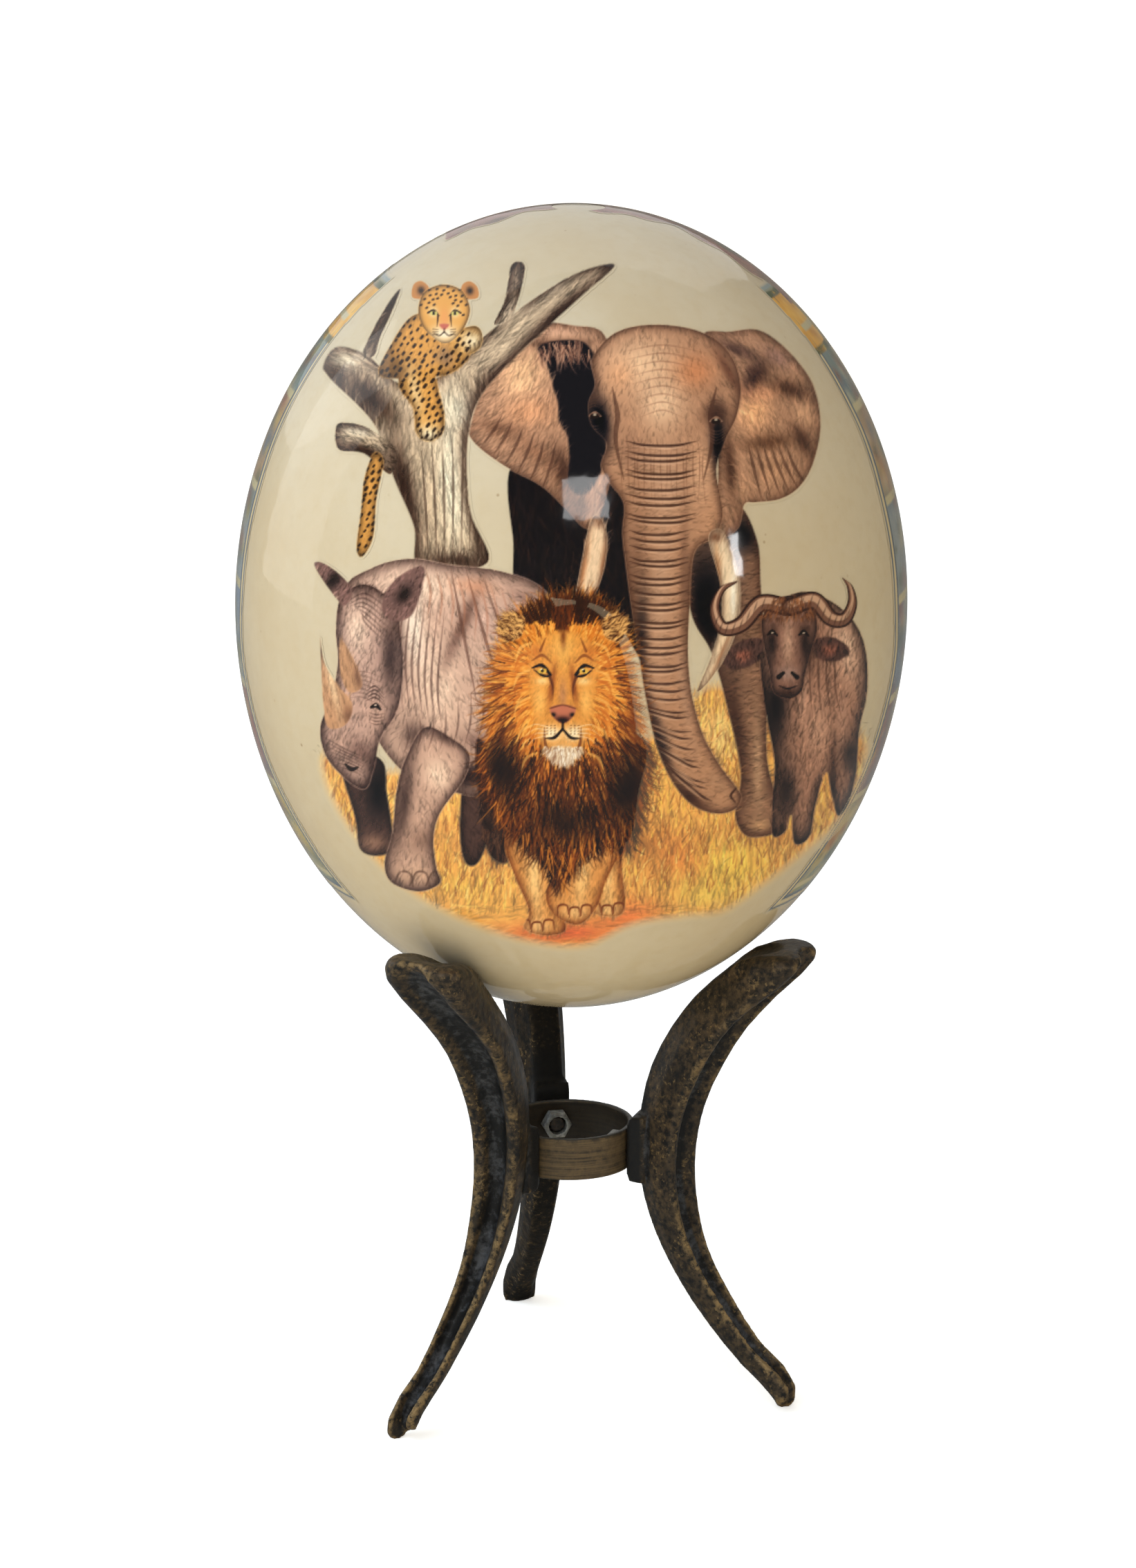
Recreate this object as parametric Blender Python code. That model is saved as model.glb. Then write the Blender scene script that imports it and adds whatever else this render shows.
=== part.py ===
"""A lacquered ostrich egg resting on a cast stand with three legs.

Each leg is a curved casting with a cove down its outer face. A short boss on its inner side is
drawn against a ring by one stud and one hexagonal nut. The egg sits in the cradles cut in the
three leg heads and can be lifted away. Units are metres and +Z is up. The origin is on the
stand's axis at floor level, and -Y is the front.
"""

from math import cos, pi, radians, sin, sqrt, tan

import bpy
import bmesh
from mathutils import Matrix

MM = 0.001
GAP = 0.3 * MM  # play between pieces that touch

# Egg: an ellipsoid of revolution, slightly fuller towards its upper end
EGG_HALF_HEIGHT = 75.6 * MM
EGG_RADIUS = 62.7 * MM
EGG_CENTRE_Z = 153.5 * MM
EGG_FULLNESS = 0.012
EGG_LEAN = radians(0.7)
EGG_RINGS = 30
EGG_SIDES = 48

# Ring: a flat band bent round, drilled for the three studs
RING_OUTER = 12.6 * MM
RING_WALL = 1.2 * MM
RING_TOP = 53.1 * MM
RING_HEIGHT = 8.2 * MM
RING_EDGE = 0.2 * MM
RING_SIDES = 48

# Studs and nuts, all at one height on the ring
STUD_Z = 49.0 * MM
STUD_RADIUS = 1.5 * MM
STUD_START = 8.9 * MM
STUD_END = 17.6 * MM
NUT_ACROSS_FLATS = 5.1 * MM
NUT_START = 8.2 * MM
NUT_END = 10.55 * MM
ROUND_SIDES = 16

# Leg: the direction that each points in, how far it leans sideways about its stud, how much
# higher and further out its head was cast than the other heads, and how far its upper part is
# twisted about its own middle line, which is all gone again at the tip of the head
LEGS = {
    "left": (radians(-128.0), radians(5.2), 3.4 * MM, radians(11.0)),
    "right": (radians(-18.7), radians(1.8), -2.0 * MM, radians(-15.0)),
    "back": (radians(104.0), radians(1.2), 0.3 * MM, 0.0),
}
# The side of each foot that stops short of the floor, and by how much
SHORT_TOES = {"left": (1, 3.0 * MM), "right": (-1, 2.3 * MM), "back": (-1, 0.6 * MM)}
TOE_HEIGHT = 11.0 * MM
# Horizontal slices of a leg from foot to head, in millimetres:
# height, outer radius, inner radius, half width outside, half width inside,
# half width of the cove, depth of the cove, rounding of the rims
LEG_SLICES = (
    (-0.6, 44.9, 43.2, 3.0, 2.2, 0.9, 1.4, 0.7),
    (1.2, 46.1, 42.2, 3.4, 2.4, 1.2, 2.6, 1.2),
    (4.0, 46.3, 40.0, 3.4, 2.0, 1.5, 3.5, 1.7),
    (8.0, 43.9, 36.1, 3.1, 1.9, 1.6, 3.7, 1.9),
    (12.0, 39.3, 32.5, 2.8, 1.9, 1.6, 3.1, 1.8),
    (20.0, 33.5, 25.9, 3.0, 2.3, 1.7, 3.0, 1.6),
    (30.0, 27.6, 19.8, 3.5, 2.6, 1.8, 3.0, 1.2),
    (40.0, 24.7, 16.0, 4.2, 2.9, 1.9, 3.0, 0.9),
    (49.0, 24.2, 14.8, 4.7, 3.1, 2.1, 3.0, 1.1),
    (58.0, 25.7, 15.2, 5.2, 3.2, 2.4, 3.2, 1.3),
    (66.0, 28.9, 17.0, 5.7, 3.3, 3.0, 3.5, 1.4),
    (74.0, 33.4, 20.9, 6.3, 3.6, 3.5, 3.9, 1.6),
    (81.0, 39.4, 25.9, 7.0, 4.3, 4.0, 4.2, 1.9),
    (86.0, 44.8, 30.0, 7.7, 5.0, 4.2, 4.2, 2.4),
    (89.5, 47.9, 33.2, 8.4, 5.6, 4.0, 3.8, 3.0),
    (91.5, 49.0, 35.0, 8.5, 6.0, 2.6, 2.8, 4.2),
    (92.8, 48.4, 36.3, 7.9, 5.6, 2.2, 0.8, 4.0),
    (93.4, 47.0, 37.6, 6.4, 4.6, 1.8, 0.0, 3.2),
)
LEG_STEPS = 27
HEAD_START = 78.0 * MM  # above this the slices tip down towards the egg
HEAD_TOP = 93.4 * MM
TWIST_START = 24.0 * MM  # below this the leg's twist eases away to nothing at the foot
HEAD_CREST_RADIUS = 43.0 * MM
HEAD_SLOPE = 0.25

# Cradle: a shallow hollow along the top of the head, lower at its inner end
CRADLE_HALF = (12.5 * MM, 5.4 * MM, 2.4 * MM)
CRADLE_PLACE = (33.5 * MM, 91.6 * MM)
CRADLE_TILT = radians(14.0)

# Boss: the block on a leg's inner side that meets the ring
BOSS_HALF_WIDTH = 3.5 * MM
BOSS_BOTTOM = 42.8 * MM
BOSS_TOP = 56.0 * MM
BOSS_FACE = RING_OUTER + GAP
BOSS_ROUND = 1.6 * MM


def clear_scene():
    for item in list(bpy.data.objects):
        bpy.data.objects.remove(item, do_unlink=True)


def make_material(name, colour, roughness, metallic):
    material = bpy.data.materials.new(name)
    material.use_nodes = True
    shader = material.node_tree.nodes["Principled BSDF"]
    shader.inputs["Base Color"].default_value = (*colour, 1.0)
    shader.inputs["Roughness"].default_value = roughness
    shader.inputs["Metallic"].default_value = metallic
    return material


def new_object(name, shape, material):
    """Makes an object of a bmesh, with its faces turned outwards, and frees the bmesh."""
    bmesh.ops.recalc_face_normals(shape, faces=shape.faces)
    mesh = bpy.data.meshes.new(name)
    shape.to_mesh(mesh)
    shape.free()
    if material:
        mesh.materials.append(material)
    piece = bpy.data.objects.new(name, mesh)
    bpy.context.scene.collection.objects.link(piece)
    return piece


def new_cutter(name, shape):
    cutter = new_object(name, shape, None)
    cutter.hide_render = True
    cutter.display_type = "WIRE"
    return cutter


def combine(piece, other, operation):
    change = piece.modifiers.new(other.name, "BOOLEAN")
    change.operation = operation
    change.solver = "EXACT"
    change.object = other


def turned(shape, profile, sides):
    """Spins (radius, height) points round Z. A point on the axis is one vertex."""
    rows = []
    for radius, height in profile:
        if radius < 1e-9:
            rows.append([shape.verts.new((0.0, 0.0, height))] * sides)
            continue
        angles = [2 * pi * k / sides for k in range(sides)]
        rows.append([shape.verts.new((radius * cos(a), radius * sin(a), height)) for a in angles])
    for low, high in zip(rows, rows[1:]):
        for k in range(sides):
            n = (k + 1) % sides
            corners = []
            for vertex in (low[k], low[n], high[n], high[k]):
                if vertex not in corners:
                    corners.append(vertex)
            shape.faces.new(corners)
    return rows


# The egg and the cutter that hollows the cradles to it


def egg_shape(extra):
    """The egg, grown by extra all over, at its place on the stand."""
    shape = bmesh.new()
    profile = []
    for step in range(EGG_RINGS + 1):
        angle = pi * step / EGG_RINGS
        along = -cos(angle)
        radius = (EGG_RADIUS + extra) * sin(angle) * (1 + EGG_FULLNESS * along)
        profile.append((max(radius, 0.0), (EGG_HALF_HEIGHT + extra) * along))
    turned(shape, profile, EGG_SIDES)
    place = Matrix.Translation((0.0, 0.0, EGG_CENTRE_Z)) @ Matrix.Rotation(EGG_LEAN, 4, "Y")
    shape.transform(place)
    return shape


def make_egg(material):
    egg = new_object("egg", egg_shape(0.0), material)
    egg.data.shade_smooth()


# A leg, built pointing along +X and then turned to its direction


def slice_at(height):
    """The slice sizes at a height, eased between the rows of LEG_SLICES."""
    rows = [[value * MM for value in row] for row in LEG_SLICES]
    top = len(rows) - 1
    k = max(i for i in range(top) if rows[i][0] <= height or i == 0)
    span = rows[k + 1][0] - rows[k][0]
    t = min(max((height - rows[k][0]) / span, 0.0), 1.0)
    found = []
    for column in range(1, len(rows[0])):
        here, there = rows[k][column], rows[k + 1][column]
        slopes = []
        for i in (k, k + 1):
            low, high = rows[max(i - 1, 0)], rows[min(i + 1, top)]
            slopes.append((high[column] - low[column]) / (high[0] - low[0]) * span)
        ease = t * t * (3 - 2 * t)
        bend = t * (1 - t) * (slopes[0] * (1 - t) - slopes[1] * t)
        found.append(here + (there - here) * ease + bend)
    return found


def slice_outline(height):
    """The slice's corners as (radius, across) pairs, once round."""
    outer, inner, half_out, half_in, cove, depth, rounding = slice_at(height)
    corner = 0.45 * half_in
    rim = min(rounding, 0.8 * (half_out - cove))
    middle = 0.5 * (inner + outer - rounding)
    half = [
        (inner, 0.0),
        (inner, half_in - corner),
        (inner + 0.3 * corner, half_in - 0.3 * corner),
        (inner + 1.2 * corner, half_in),
        (middle, 0.5 * (half_in + half_out) + 0.25 * MM),
        (outer - rounding, half_out),
        (outer - 0.5 * rounding, half_out - 0.18 * rim),
        (outer - 0.13 * rounding, half_out - 0.55 * rim),
        (outer, half_out - rim),
        (outer - 0.12 * depth, cove + 0.15 * (half_out - cove)),
        (outer - 0.55 * depth, 0.86 * cove),
        (outer - 0.9 * depth, 0.5 * cove),
        (outer - depth, 0.0),
    ]
    return half + [(radius, -across) for radius, across in half[-2:0:-1]]


def leg_heights():
    """Heights of the slices: each given row, and even steps between the far ones."""
    rows = [row[0] * MM for row in LEG_SLICES]
    step = rows[-1] / LEG_STEPS
    heights = []
    for low, high in zip(rows, rows[1:]):
        count = max(1, round((high - low) / step))
        heights += [low + (high - low) * i / count for i in range(count)]
    return heights + [rows[-1]]


def leg_point(name, radius, across, height):
    """Where a point of a slice goes: leaned, with the foot and the head as that leg has them."""
    lean, growth, twist = LEGS[name][1:]
    side, lift = SHORT_TOES[name]
    head = min(max((height - HEAD_START) / (HEAD_TOP - HEAD_START), 0.0), 1.0)
    toe = max(1 - height / TOE_HEIGHT, 0.0) ** 1.5
    raised = lift * toe * min(max(0.5 + side * across / (2.4 * MM), 0.0), 1.0)
    drop = HEAD_SLOPE * head * head * max(HEAD_CREST_RADIUS - radius, 0.0)
    sideways = (height - STUD_Z) * tan(lean)
    outer, inner = slice_at(height)[:2]
    middle = 0.5 * (outer + inner)
    turn = twist * min(max(height / TWIST_START, 0.0), 1.0) * (1 - head)
    out = radius - middle
    turned_out = middle + out * cos(turn) - across * sin(turn)
    turned_across = across * cos(turn) + out * sin(turn)
    return (turned_out + growth * head, turned_across + sideways, height + growth * head + raised - drop)


def leg_shape(name):
    shape = bmesh.new()
    rows = []
    for height in leg_heights():
        outline = slice_outline(height)
        rows.append([shape.verts.new(leg_point(name, *point, height)) for point in outline])
    count = len(rows[0])
    for low, high in zip(rows, rows[1:]):
        for k in range(count):
            n = (k + 1) % count
            shape.faces.new((low[k], low[n], high[n], high[k]))
    shape.faces.new(rows[0][::-1])
    shape.faces.new(rows[-1])
    return shape


def boss_shape():
    """A block with rounded top and bottom edges, sunk into the leg's back."""
    reach = slice_at(STUD_Z)[1] + 1.5 * MM
    shape = bmesh.new()
    bmesh.ops.create_cube(shape, size=1.0)
    size = Matrix.Diagonal((reach - BOSS_FACE, 2 * BOSS_HALF_WIDTH, BOSS_TOP - BOSS_BOTTOM, 1.0))
    centre = ((reach + BOSS_FACE) / 2, 0.0, (BOSS_TOP + BOSS_BOTTOM) / 2)
    shape.transform(Matrix.Translation(centre) @ size)
    ends = []
    for edge in shape.edges:
        a, b = (vertex.co for vertex in edge.verts)
        if abs(a.x - BOSS_FACE) < 1e-6 and abs(b.x - BOSS_FACE) < 1e-6 and abs(a.z - b.z) < 1e-6:
            ends.append(edge)
    bmesh.ops.bevel(shape, geom=ends, offset=BOSS_ROUND, segments=3, profile=0.5, affect="EDGES")
    return shape


def radial_rod(start, end, radius, rounding=0.0):
    """A rod along +X at the studs' height, with chamfered ends where rounding is given."""
    profile = [(0.0, start)]
    if rounding:
        profile += [(radius - rounding, start), (radius, start + rounding)]
        profile += [(radius, end - rounding), (radius - rounding, end)]
    else:
        profile += [(radius, start), (radius, end)]
    profile.append((0.0, end))
    shape = bmesh.new()
    turned(shape, profile, ROUND_SIDES)
    shape.transform(Matrix.Translation((0.0, 0.0, STUD_Z)) @ Matrix.Rotation(pi / 2, 4, "Y"))
    return shape


def floor_shape():
    """A slab below the floor that cuts the toes flat."""
    shape = bmesh.new()
    bmesh.ops.create_cube(shape, size=1.0)
    size = Matrix.Diagonal((0.2, 0.2, 5.0 * MM, 1.0))
    shape.transform(Matrix.Translation((0.0, 0.0, -2.5 * MM)) @ size)
    return shape


def cradle_shape(name):
    shape = bmesh.new()
    bmesh.ops.create_uvsphere(shape, u_segments=20, v_segments=12, radius=1.0)
    shape.transform(Matrix.Rotation(pi / 2, 4, "Y"))
    shape.transform(Matrix.Diagonal((*CRADLE_HALF, 1.0)))
    direction, lean, growth = LEGS[name][:3]
    radius, height = CRADLE_PLACE
    place = (radius + growth, (height - STUD_Z) * tan(lean), height + growth)
    turn = Matrix.Rotation(direction, 4, "Z") @ Matrix.Translation(place)
    shape.transform(turn @ Matrix.Rotation(-CRADLE_TILT, 4, "Y"))
    return shape


def make_leg(name, material, egg_cutter, floor_cutter):
    turn = Matrix.Rotation(LEGS[name][0], 4, "Z")
    body = leg_shape(name)
    body.transform(turn)
    leg = new_object("leg_" + name, body, material)
    boss = boss_shape()
    boss.transform(turn)
    combine(leg, new_cutter("boss_" + name, boss), "UNION")
    hole = radial_rod(RING_OUTER - RING_WALL, STUD_END + GAP, STUD_RADIUS + GAP)
    hole.transform(turn)
    combine(leg, new_cutter("stud_hole_" + name, hole), "DIFFERENCE")
    combine(leg, new_cutter("cradle_" + name, cradle_shape(name)), "DIFFERENCE")
    combine(leg, egg_cutter, "DIFFERENCE")
    combine(leg, floor_cutter, "DIFFERENCE")
    leg.data.shade_smooth()
    leg.data.set_sharp_from_angle(angle=radians(50))


# The ring with its studs and nuts


def make_ring(material):
    inner, outer = RING_OUTER - RING_WALL, RING_OUTER
    low, high = RING_TOP - RING_HEIGHT, RING_TOP
    profile = [
        (inner, low + RING_EDGE),
        (inner + RING_EDGE, low),
        (outer - RING_EDGE, low),
        (outer, low + RING_EDGE),
        (outer, high - RING_EDGE),
        (outer - RING_EDGE, high),
        (inner + RING_EDGE, high),
        (inner, high - RING_EDGE),
        (inner, low + RING_EDGE),
    ]
    shape = bmesh.new()
    turned(shape, profile, RING_SIDES)
    bmesh.ops.remove_doubles(shape, verts=shape.verts, dist=1e-6)
    ring = new_object("ring", shape, material)
    for name, (direction, *_) in LEGS.items():
        hole = radial_rod(inner - 2 * MM, outer + 2 * MM, STUD_RADIUS + GAP)
        hole.transform(Matrix.Rotation(direction, 4, "Z"))
        combine(ring, new_cutter("ring_hole_" + name, hole), "DIFFERENCE")
    ring.data.shade_smooth()
    ring.data.set_sharp_from_angle(angle=radians(35))


def nut_shape():
    """A hexagonal nut on the stud's line, its outer corners chamfered."""
    corner = NUT_ACROSS_FLATS / sqrt(3)
    chamfer = 0.4 * MM
    hole = STUD_RADIUS + GAP
    shape = bmesh.new()
    rows = []
    for position, shrink in ((NUT_START, chamfer), (NUT_START + chamfer, 0.0), (NUT_END, 0.0)):
        angles = [pi / 3 * k for k in range(6)]
        size = corner - shrink
        rows.append([shape.verts.new((position, size * cos(a), size * sin(a))) for a in angles])
    for low, high in zip(rows, rows[1:]):
        for k in range(6):
            n = (k + 1) % 6
            shape.faces.new((low[k], low[n], high[n], high[k]))
    bores = []
    for position in (NUT_START, NUT_END):
        angles = [pi / 6 * k for k in range(12)]
        bores.append([shape.verts.new((position, hole * cos(a), hole * sin(a))) for a in angles])
    for k in range(12):
        n = (k + 1) % 12
        shape.faces.new((bores[0][k], bores[1][k], bores[1][n], bores[0][n]))
    for row, bore in ((rows[0], bores[0]), (rows[-1], bores[1])):
        for k in range(6):
            n = (k + 1) % 6
            start = 2 * k
            shape.faces.new((row[k], bore[start], bore[start + 1]))
            shape.faces.new((row[k], bore[start + 1], row[n]))
            shape.faces.new((row[n], bore[start + 1], bore[(start + 2) % 12]))
    shape.transform(Matrix.Translation((0.0, 0.0, STUD_Z)))
    return shape


def make_fixings(name, material):
    turn = Matrix.Rotation(LEGS[name][0], 4, "Z")
    stud = radial_rod(STUD_START, STUD_END, STUD_RADIUS, 0.25 * MM)
    stud.transform(turn)
    stud_piece = new_object("stud_" + name, stud, material)
    stud_piece.data.shade_smooth()
    stud_piece.data.set_sharp_from_angle(angle=radians(35))
    nut = nut_shape()
    nut.transform(turn)
    new_object("nut_" + name, nut, material)


def build():
    clear_scene()
    shell = make_material("lacquered_shell", (0.74, 0.66, 0.50), 0.12, 0.0)
    patina = make_material("bronze_patina", (0.075, 0.062, 0.048), 0.45, 0.75)
    band = make_material("brushed_band", (0.17, 0.125, 0.065), 0.42, 0.85)
    steel = make_material("dark_steel", (0.20, 0.21, 0.21), 0.35, 0.9)
    make_egg(shell)
    make_ring(band)
    egg_cutter = new_cutter("egg_seat", egg_shape(GAP))
    floor_cutter = new_cutter("floor_cut", floor_shape())
    for name in LEGS:
        make_leg(name, patina, egg_cutter, floor_cutter)
        make_fixings(name, steel)


build()
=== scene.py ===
from math import cos, pi, radians, sin

import bpy
import bmesh
import numpy as np
from mathutils import Matrix, Vector


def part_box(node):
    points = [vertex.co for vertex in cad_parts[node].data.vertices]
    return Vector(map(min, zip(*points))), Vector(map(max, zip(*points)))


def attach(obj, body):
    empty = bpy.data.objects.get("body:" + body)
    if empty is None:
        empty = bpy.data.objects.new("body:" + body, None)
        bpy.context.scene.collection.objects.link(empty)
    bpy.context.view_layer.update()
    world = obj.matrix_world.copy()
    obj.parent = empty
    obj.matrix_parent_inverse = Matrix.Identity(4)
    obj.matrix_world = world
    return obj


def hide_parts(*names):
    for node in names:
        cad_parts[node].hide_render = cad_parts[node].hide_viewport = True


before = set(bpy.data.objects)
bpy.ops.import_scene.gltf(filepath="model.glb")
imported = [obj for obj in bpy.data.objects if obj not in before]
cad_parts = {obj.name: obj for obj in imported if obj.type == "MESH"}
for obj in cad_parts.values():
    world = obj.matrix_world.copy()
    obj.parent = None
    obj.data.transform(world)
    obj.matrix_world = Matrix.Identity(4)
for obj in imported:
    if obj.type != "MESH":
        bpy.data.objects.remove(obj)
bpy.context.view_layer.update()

# Camera: in front of the egg and a little above it, looking slightly down.


def new_object(name, data):
    """Adds an object to the scene."""
    made = bpy.data.objects.new(name, data)
    bpy.context.scene.collection.objects.link(made)
    return made


camera_data = bpy.data.cameras.new("camera")
camera_data.sensor_width = 36.0
camera_data.lens = 109.35
camera_data.clip_end = 20.0
camera = new_object("camera", camera_data)
camera.location = (0.0005, -0.8716, 0.3441)
aim = Matrix.Rotation(radians(0.06), 4, "Z") @ Matrix.Rotation(radians(75.56), 4, "X")
camera.rotation_euler = (aim @ Matrix.Rotation(radians(0.31), 4, "Z")).to_euler()
bpy.context.scene.camera = camera

# Floor and light: a white dished floor that throws little light back at the egg, a broad soft
# lamp overhead, three windows whose shapes show in the lacquer, and soft fill lamps.

bpy.context.scene.view_settings.view_transform = "Standard"

world = bpy.data.worlds.new("pale room")
world.use_nodes = True
world.node_tree.nodes["Background"].inputs["Color"].default_value = (1.0, 1.0, 1.0, 1.0)
world.node_tree.nodes["Background"].inputs["Strength"].default_value = 0.19
bpy.context.scene.world = world

FLOOR_MIDDLE = 0.4
FLOOR_RADIUS = 1.6
CURVE_RADIUS = 0.7
CURVE_STEPS = 12
WALL_TOP = 1.9
FLOOR_SIDES = 96
FLOOR_WHITE = (0.93, 0.93, 0.93, 1.0)
FLOOR_THROWN = (0.98, 0.87, 0.66, 1.0)  # the light that it throws on the egg
FLOOR_MIRRORED = (0.26, 0.26, 0.26, 1.0)  # how it shows in the lacquer
LAMPS_AIM = Vector((0.0, 0.0, 0.15))


def dished_floor():
    """A round white floor that curves up into a low wall all the way round."""
    section = [(FLOOR_MIDDLE, 0.0), (FLOOR_RADIUS, 0.0)]
    for step in range(1, CURVE_STEPS + 1):
        turn = pi / 2 * step / CURVE_STEPS
        section.append((FLOOR_RADIUS + CURVE_RADIUS * sin(turn), CURVE_RADIUS * (1 - cos(turn))))
    section.append((FLOOR_RADIUS + CURVE_RADIUS, WALL_TOP))
    shape = bmesh.new()
    rings = []
    for out, height in section:
        turns = [2 * pi * k / FLOOR_SIDES for k in range(FLOOR_SIDES)]
        rings.append([shape.verts.new((out * cos(turn), out * sin(turn), height)) for turn in turns])
    shape.faces.new(rings[0])
    for inner, outer in zip(rings, rings[1:]):
        for k in range(FLOOR_SIDES):
            after = (k + 1) % FLOOR_SIDES
            shape.faces.new((inner[k], outer[k], outer[after], inner[after]))
    mesh = bpy.data.meshes.new("floor")
    shape.to_mesh(mesh)
    shape.free()
    mesh.shade_smooth()
    paint = bpy.data.materials.new("pale floor paint")
    paint.use_nodes = True
    nodes, links = paint.node_tree.nodes, paint.node_tree.links
    shader = nodes["Principled BSDF"]
    shader.inputs["Base Color"].default_value = FLOOR_WHITE
    shader.inputs["Roughness"].default_value = 0.9
    shader.inputs["Specular IOR Level"].default_value = 0.1
    shader.inputs["Emission Color"].default_value = (1.0, 1.0, 1.0, 1.0)
    shader.inputs["Emission Strength"].default_value = 0.45
    path = nodes.new("ShaderNodeLightPath").outputs
    tone = nodes.new("ShaderNodeMix")
    tone.data_type = "RGBA"
    tone.inputs[6].default_value = FLOOR_THROWN
    tone.inputs[7].default_value = FLOOR_MIRRORED
    links.new(path["Is Glossy Ray"], tone.inputs[0])
    dim = nodes.new("ShaderNodeBsdfDiffuse")
    links.new(tone.outputs[2], dim.inputs["Color"])
    mix = nodes.new("ShaderNodeMixShader")
    links.new(path["Is Camera Ray"], mix.inputs[0])
    links.new(dim.outputs[0], mix.inputs[1])
    links.new(shader.outputs[0], mix.inputs[2])
    links.new(mix.outputs[0], nodes["Material Output"].inputs["Surface"])
    mesh.materials.append(paint)
    return new_object("floor", mesh)


def soft_lamp(name, azimuth, elevation, distance, width, height, power, mirrored=True, tint=(1, 1, 1)):
    """A rectangular lamp facing the egg, placed by its direction as seen from the egg."""
    lamp_data = bpy.data.lights.new(name, "AREA")
    lamp_data.shape = "RECTANGLE"
    lamp_data.size = width
    lamp_data.size_y = height
    lamp_data.energy = power
    lamp_data.color = tint
    lamp = new_object(name, lamp_data)
    lamp.visible_glossy = mirrored
    flat = distance * cos(radians(elevation))
    away = Vector((flat * sin(radians(azimuth)), -flat * cos(radians(azimuth)), 0.0))
    away.z = distance * sin(radians(elevation))
    lamp.location = LAMPS_AIM + away
    lamp.rotation_euler = away.to_track_quat("Z", "Y").to_euler()


dished_floor()
soft_lamp("overhead lamp", -50, 70, 1.5, 1.3, 1.3, 12.5, False, (0.76, 0.87, 1.0))
soft_lamp("front window", 5, 31, 1.4, 0.36, 0.26, 1.6)
soft_lamp("right window", 58, 12, 1.4, 0.08, 0.22, 0.8)
soft_lamp("left window", -112, 12, 1.5, 0.9, 1.5, 2.6)
soft_lamp("front fill", -20, 18, 1.6, 1.3, 1.3, 11.3, False, (0.92, 0.97, 1.0))
soft_lamp("left fill", -72, 30, 1.5, 1.0, 1.2, 9.0, False, (0.60, 0.80, 1.0))
soft_lamp("back fill", -158, 38, 1.8, 3.4, 2.4, 12.0)

# Egg: a blown ostrich egg, cleaned and coated with many coats of clear gloss lacquer. It sits
# in the three cradles with its long axis almost upright. The shell is ivory with faint tan
# clouding and small pores, and the lacquer is brushed on, so it is very slightly uneven.

EGG_HALF_HEIGHT = 0.0756
EGG_RADIUS = 0.0627
EGG_FULLNESS = 0.012
EGG_LEAN = radians(0.7)
EGG_CENTRE = 0.1535
SHELL_CREAM = (0.520, 0.440, 0.318, 1.0)
SHELL_TAN = (0.470, 0.370, 0.235, 1.0)
SHELL_PORE = (0.270, 0.185, 0.100, 1.0)


def wire(tree, kind, inputs=(), **settings):
    """Adds a node, sets it, and joins or fills its inputs, given by name or number."""
    node = tree.nodes.new(kind)
    for key, value in settings.items():
        setattr(node, key, value)
    for key, value in dict(inputs).items():
        if isinstance(value, bpy.types.NodeSocket):
            tree.links.new(value, node.inputs[key])
        else:
            node.inputs[key].default_value = value
    return node


def ramp(tree, value, low, high):
    """Stretches a value so that low becomes 0 and high becomes 1."""
    spread = wire(tree, "ShaderNodeMapRange", {"Value": value, "From Min": low, "From Max": high})
    return spread.outputs["Result"]


def blend(tree, amount, first, second):
    """Mixes two colours."""
    mix = wire(tree, "ShaderNodeMix", {0: amount, 6: first, 7: second}, data_type="RGBA")
    return mix.outputs[2]


def sums(tree, operation, first, second):
    """One sum on two values, kept between 0 and 1."""
    result = wire(tree, "ShaderNodeMath", {0: first, 1: second}, operation=operation, use_clamp=True)
    return result.outputs[0]


def times(tree, product, *values):
    """The product of several values, kept between 0 and 1."""
    for value in values:
        product = sums(tree, "MULTIPLY", product, value)
    return product


def noise(tree, place, scale, detail=3.0, roughness=0.55):
    """A noise pattern on given coordinates, in features per metre."""
    pattern = wire(tree, "ShaderNodeTexNoise", {"Vector": place, "Scale": scale, "Detail": detail,
        "Roughness": roughness})
    return pattern.outputs["Fac"]


def finish_group(name, colours, values, made_values):
    """A shader node group with the named inputs, a Colour output and more value outputs."""
    tree = bpy.data.node_groups.new(name, "ShaderNodeTree")
    for titles, way, kind in ((colours, "INPUT", "Color"), (values, "INPUT", "Float"),
            (("Colour",), "OUTPUT", "Color"), (made_values, "OUTPUT", "Float")):
        for title in titles:
            tree.interface.new_socket(title, in_out=way, socket_type="NodeSocket" + kind)
    given = tree.nodes.new("NodeGroupInput").outputs
    result = tree.nodes.new("NodeGroupOutput").inputs
    place = tree.nodes.new("ShaderNodeTexCoord").outputs["Object"]
    return tree, given, result, place


def shell_group():
    """The ivory of the shell under its lacquer, and the lacquer's slight unevenness."""
    tree, given, result, place = finish_group("lacquered shell", ("Cream", "Tan", "Pore"), (), ("Height",))
    cloud = ramp(tree, noise(tree, place, 24.0, 4.0), 0.42, 0.78)
    colour = blend(tree, cloud, given["Cream"], given["Tan"])
    grain = ramp(tree, noise(tree, place, 420.0, 3.0), 0.45, 0.8)
    colour = blend(tree, times(tree, grain, 0.35), colour, given["Tan"])
    dots = wire(tree, "ShaderNodeTexVoronoi", {"Vector": place, "Scale": 260.0})
    near = ramp(tree, dots.outputs["Distance"], 0.105, 0.045)
    patch = ramp(tree, noise(tree, place, 95.0, 2.0), 0.54, 0.66)
    colour = blend(tree, times(tree, near, patch, 0.75), colour, given["Pore"])
    tree.links.new(colour, result["Colour"])
    tree.links.new(noise(tree, place, 70.0, 3.0, 0.6), result["Height"])
    return tree


LACQUERED_SHELL = shell_group()


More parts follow.
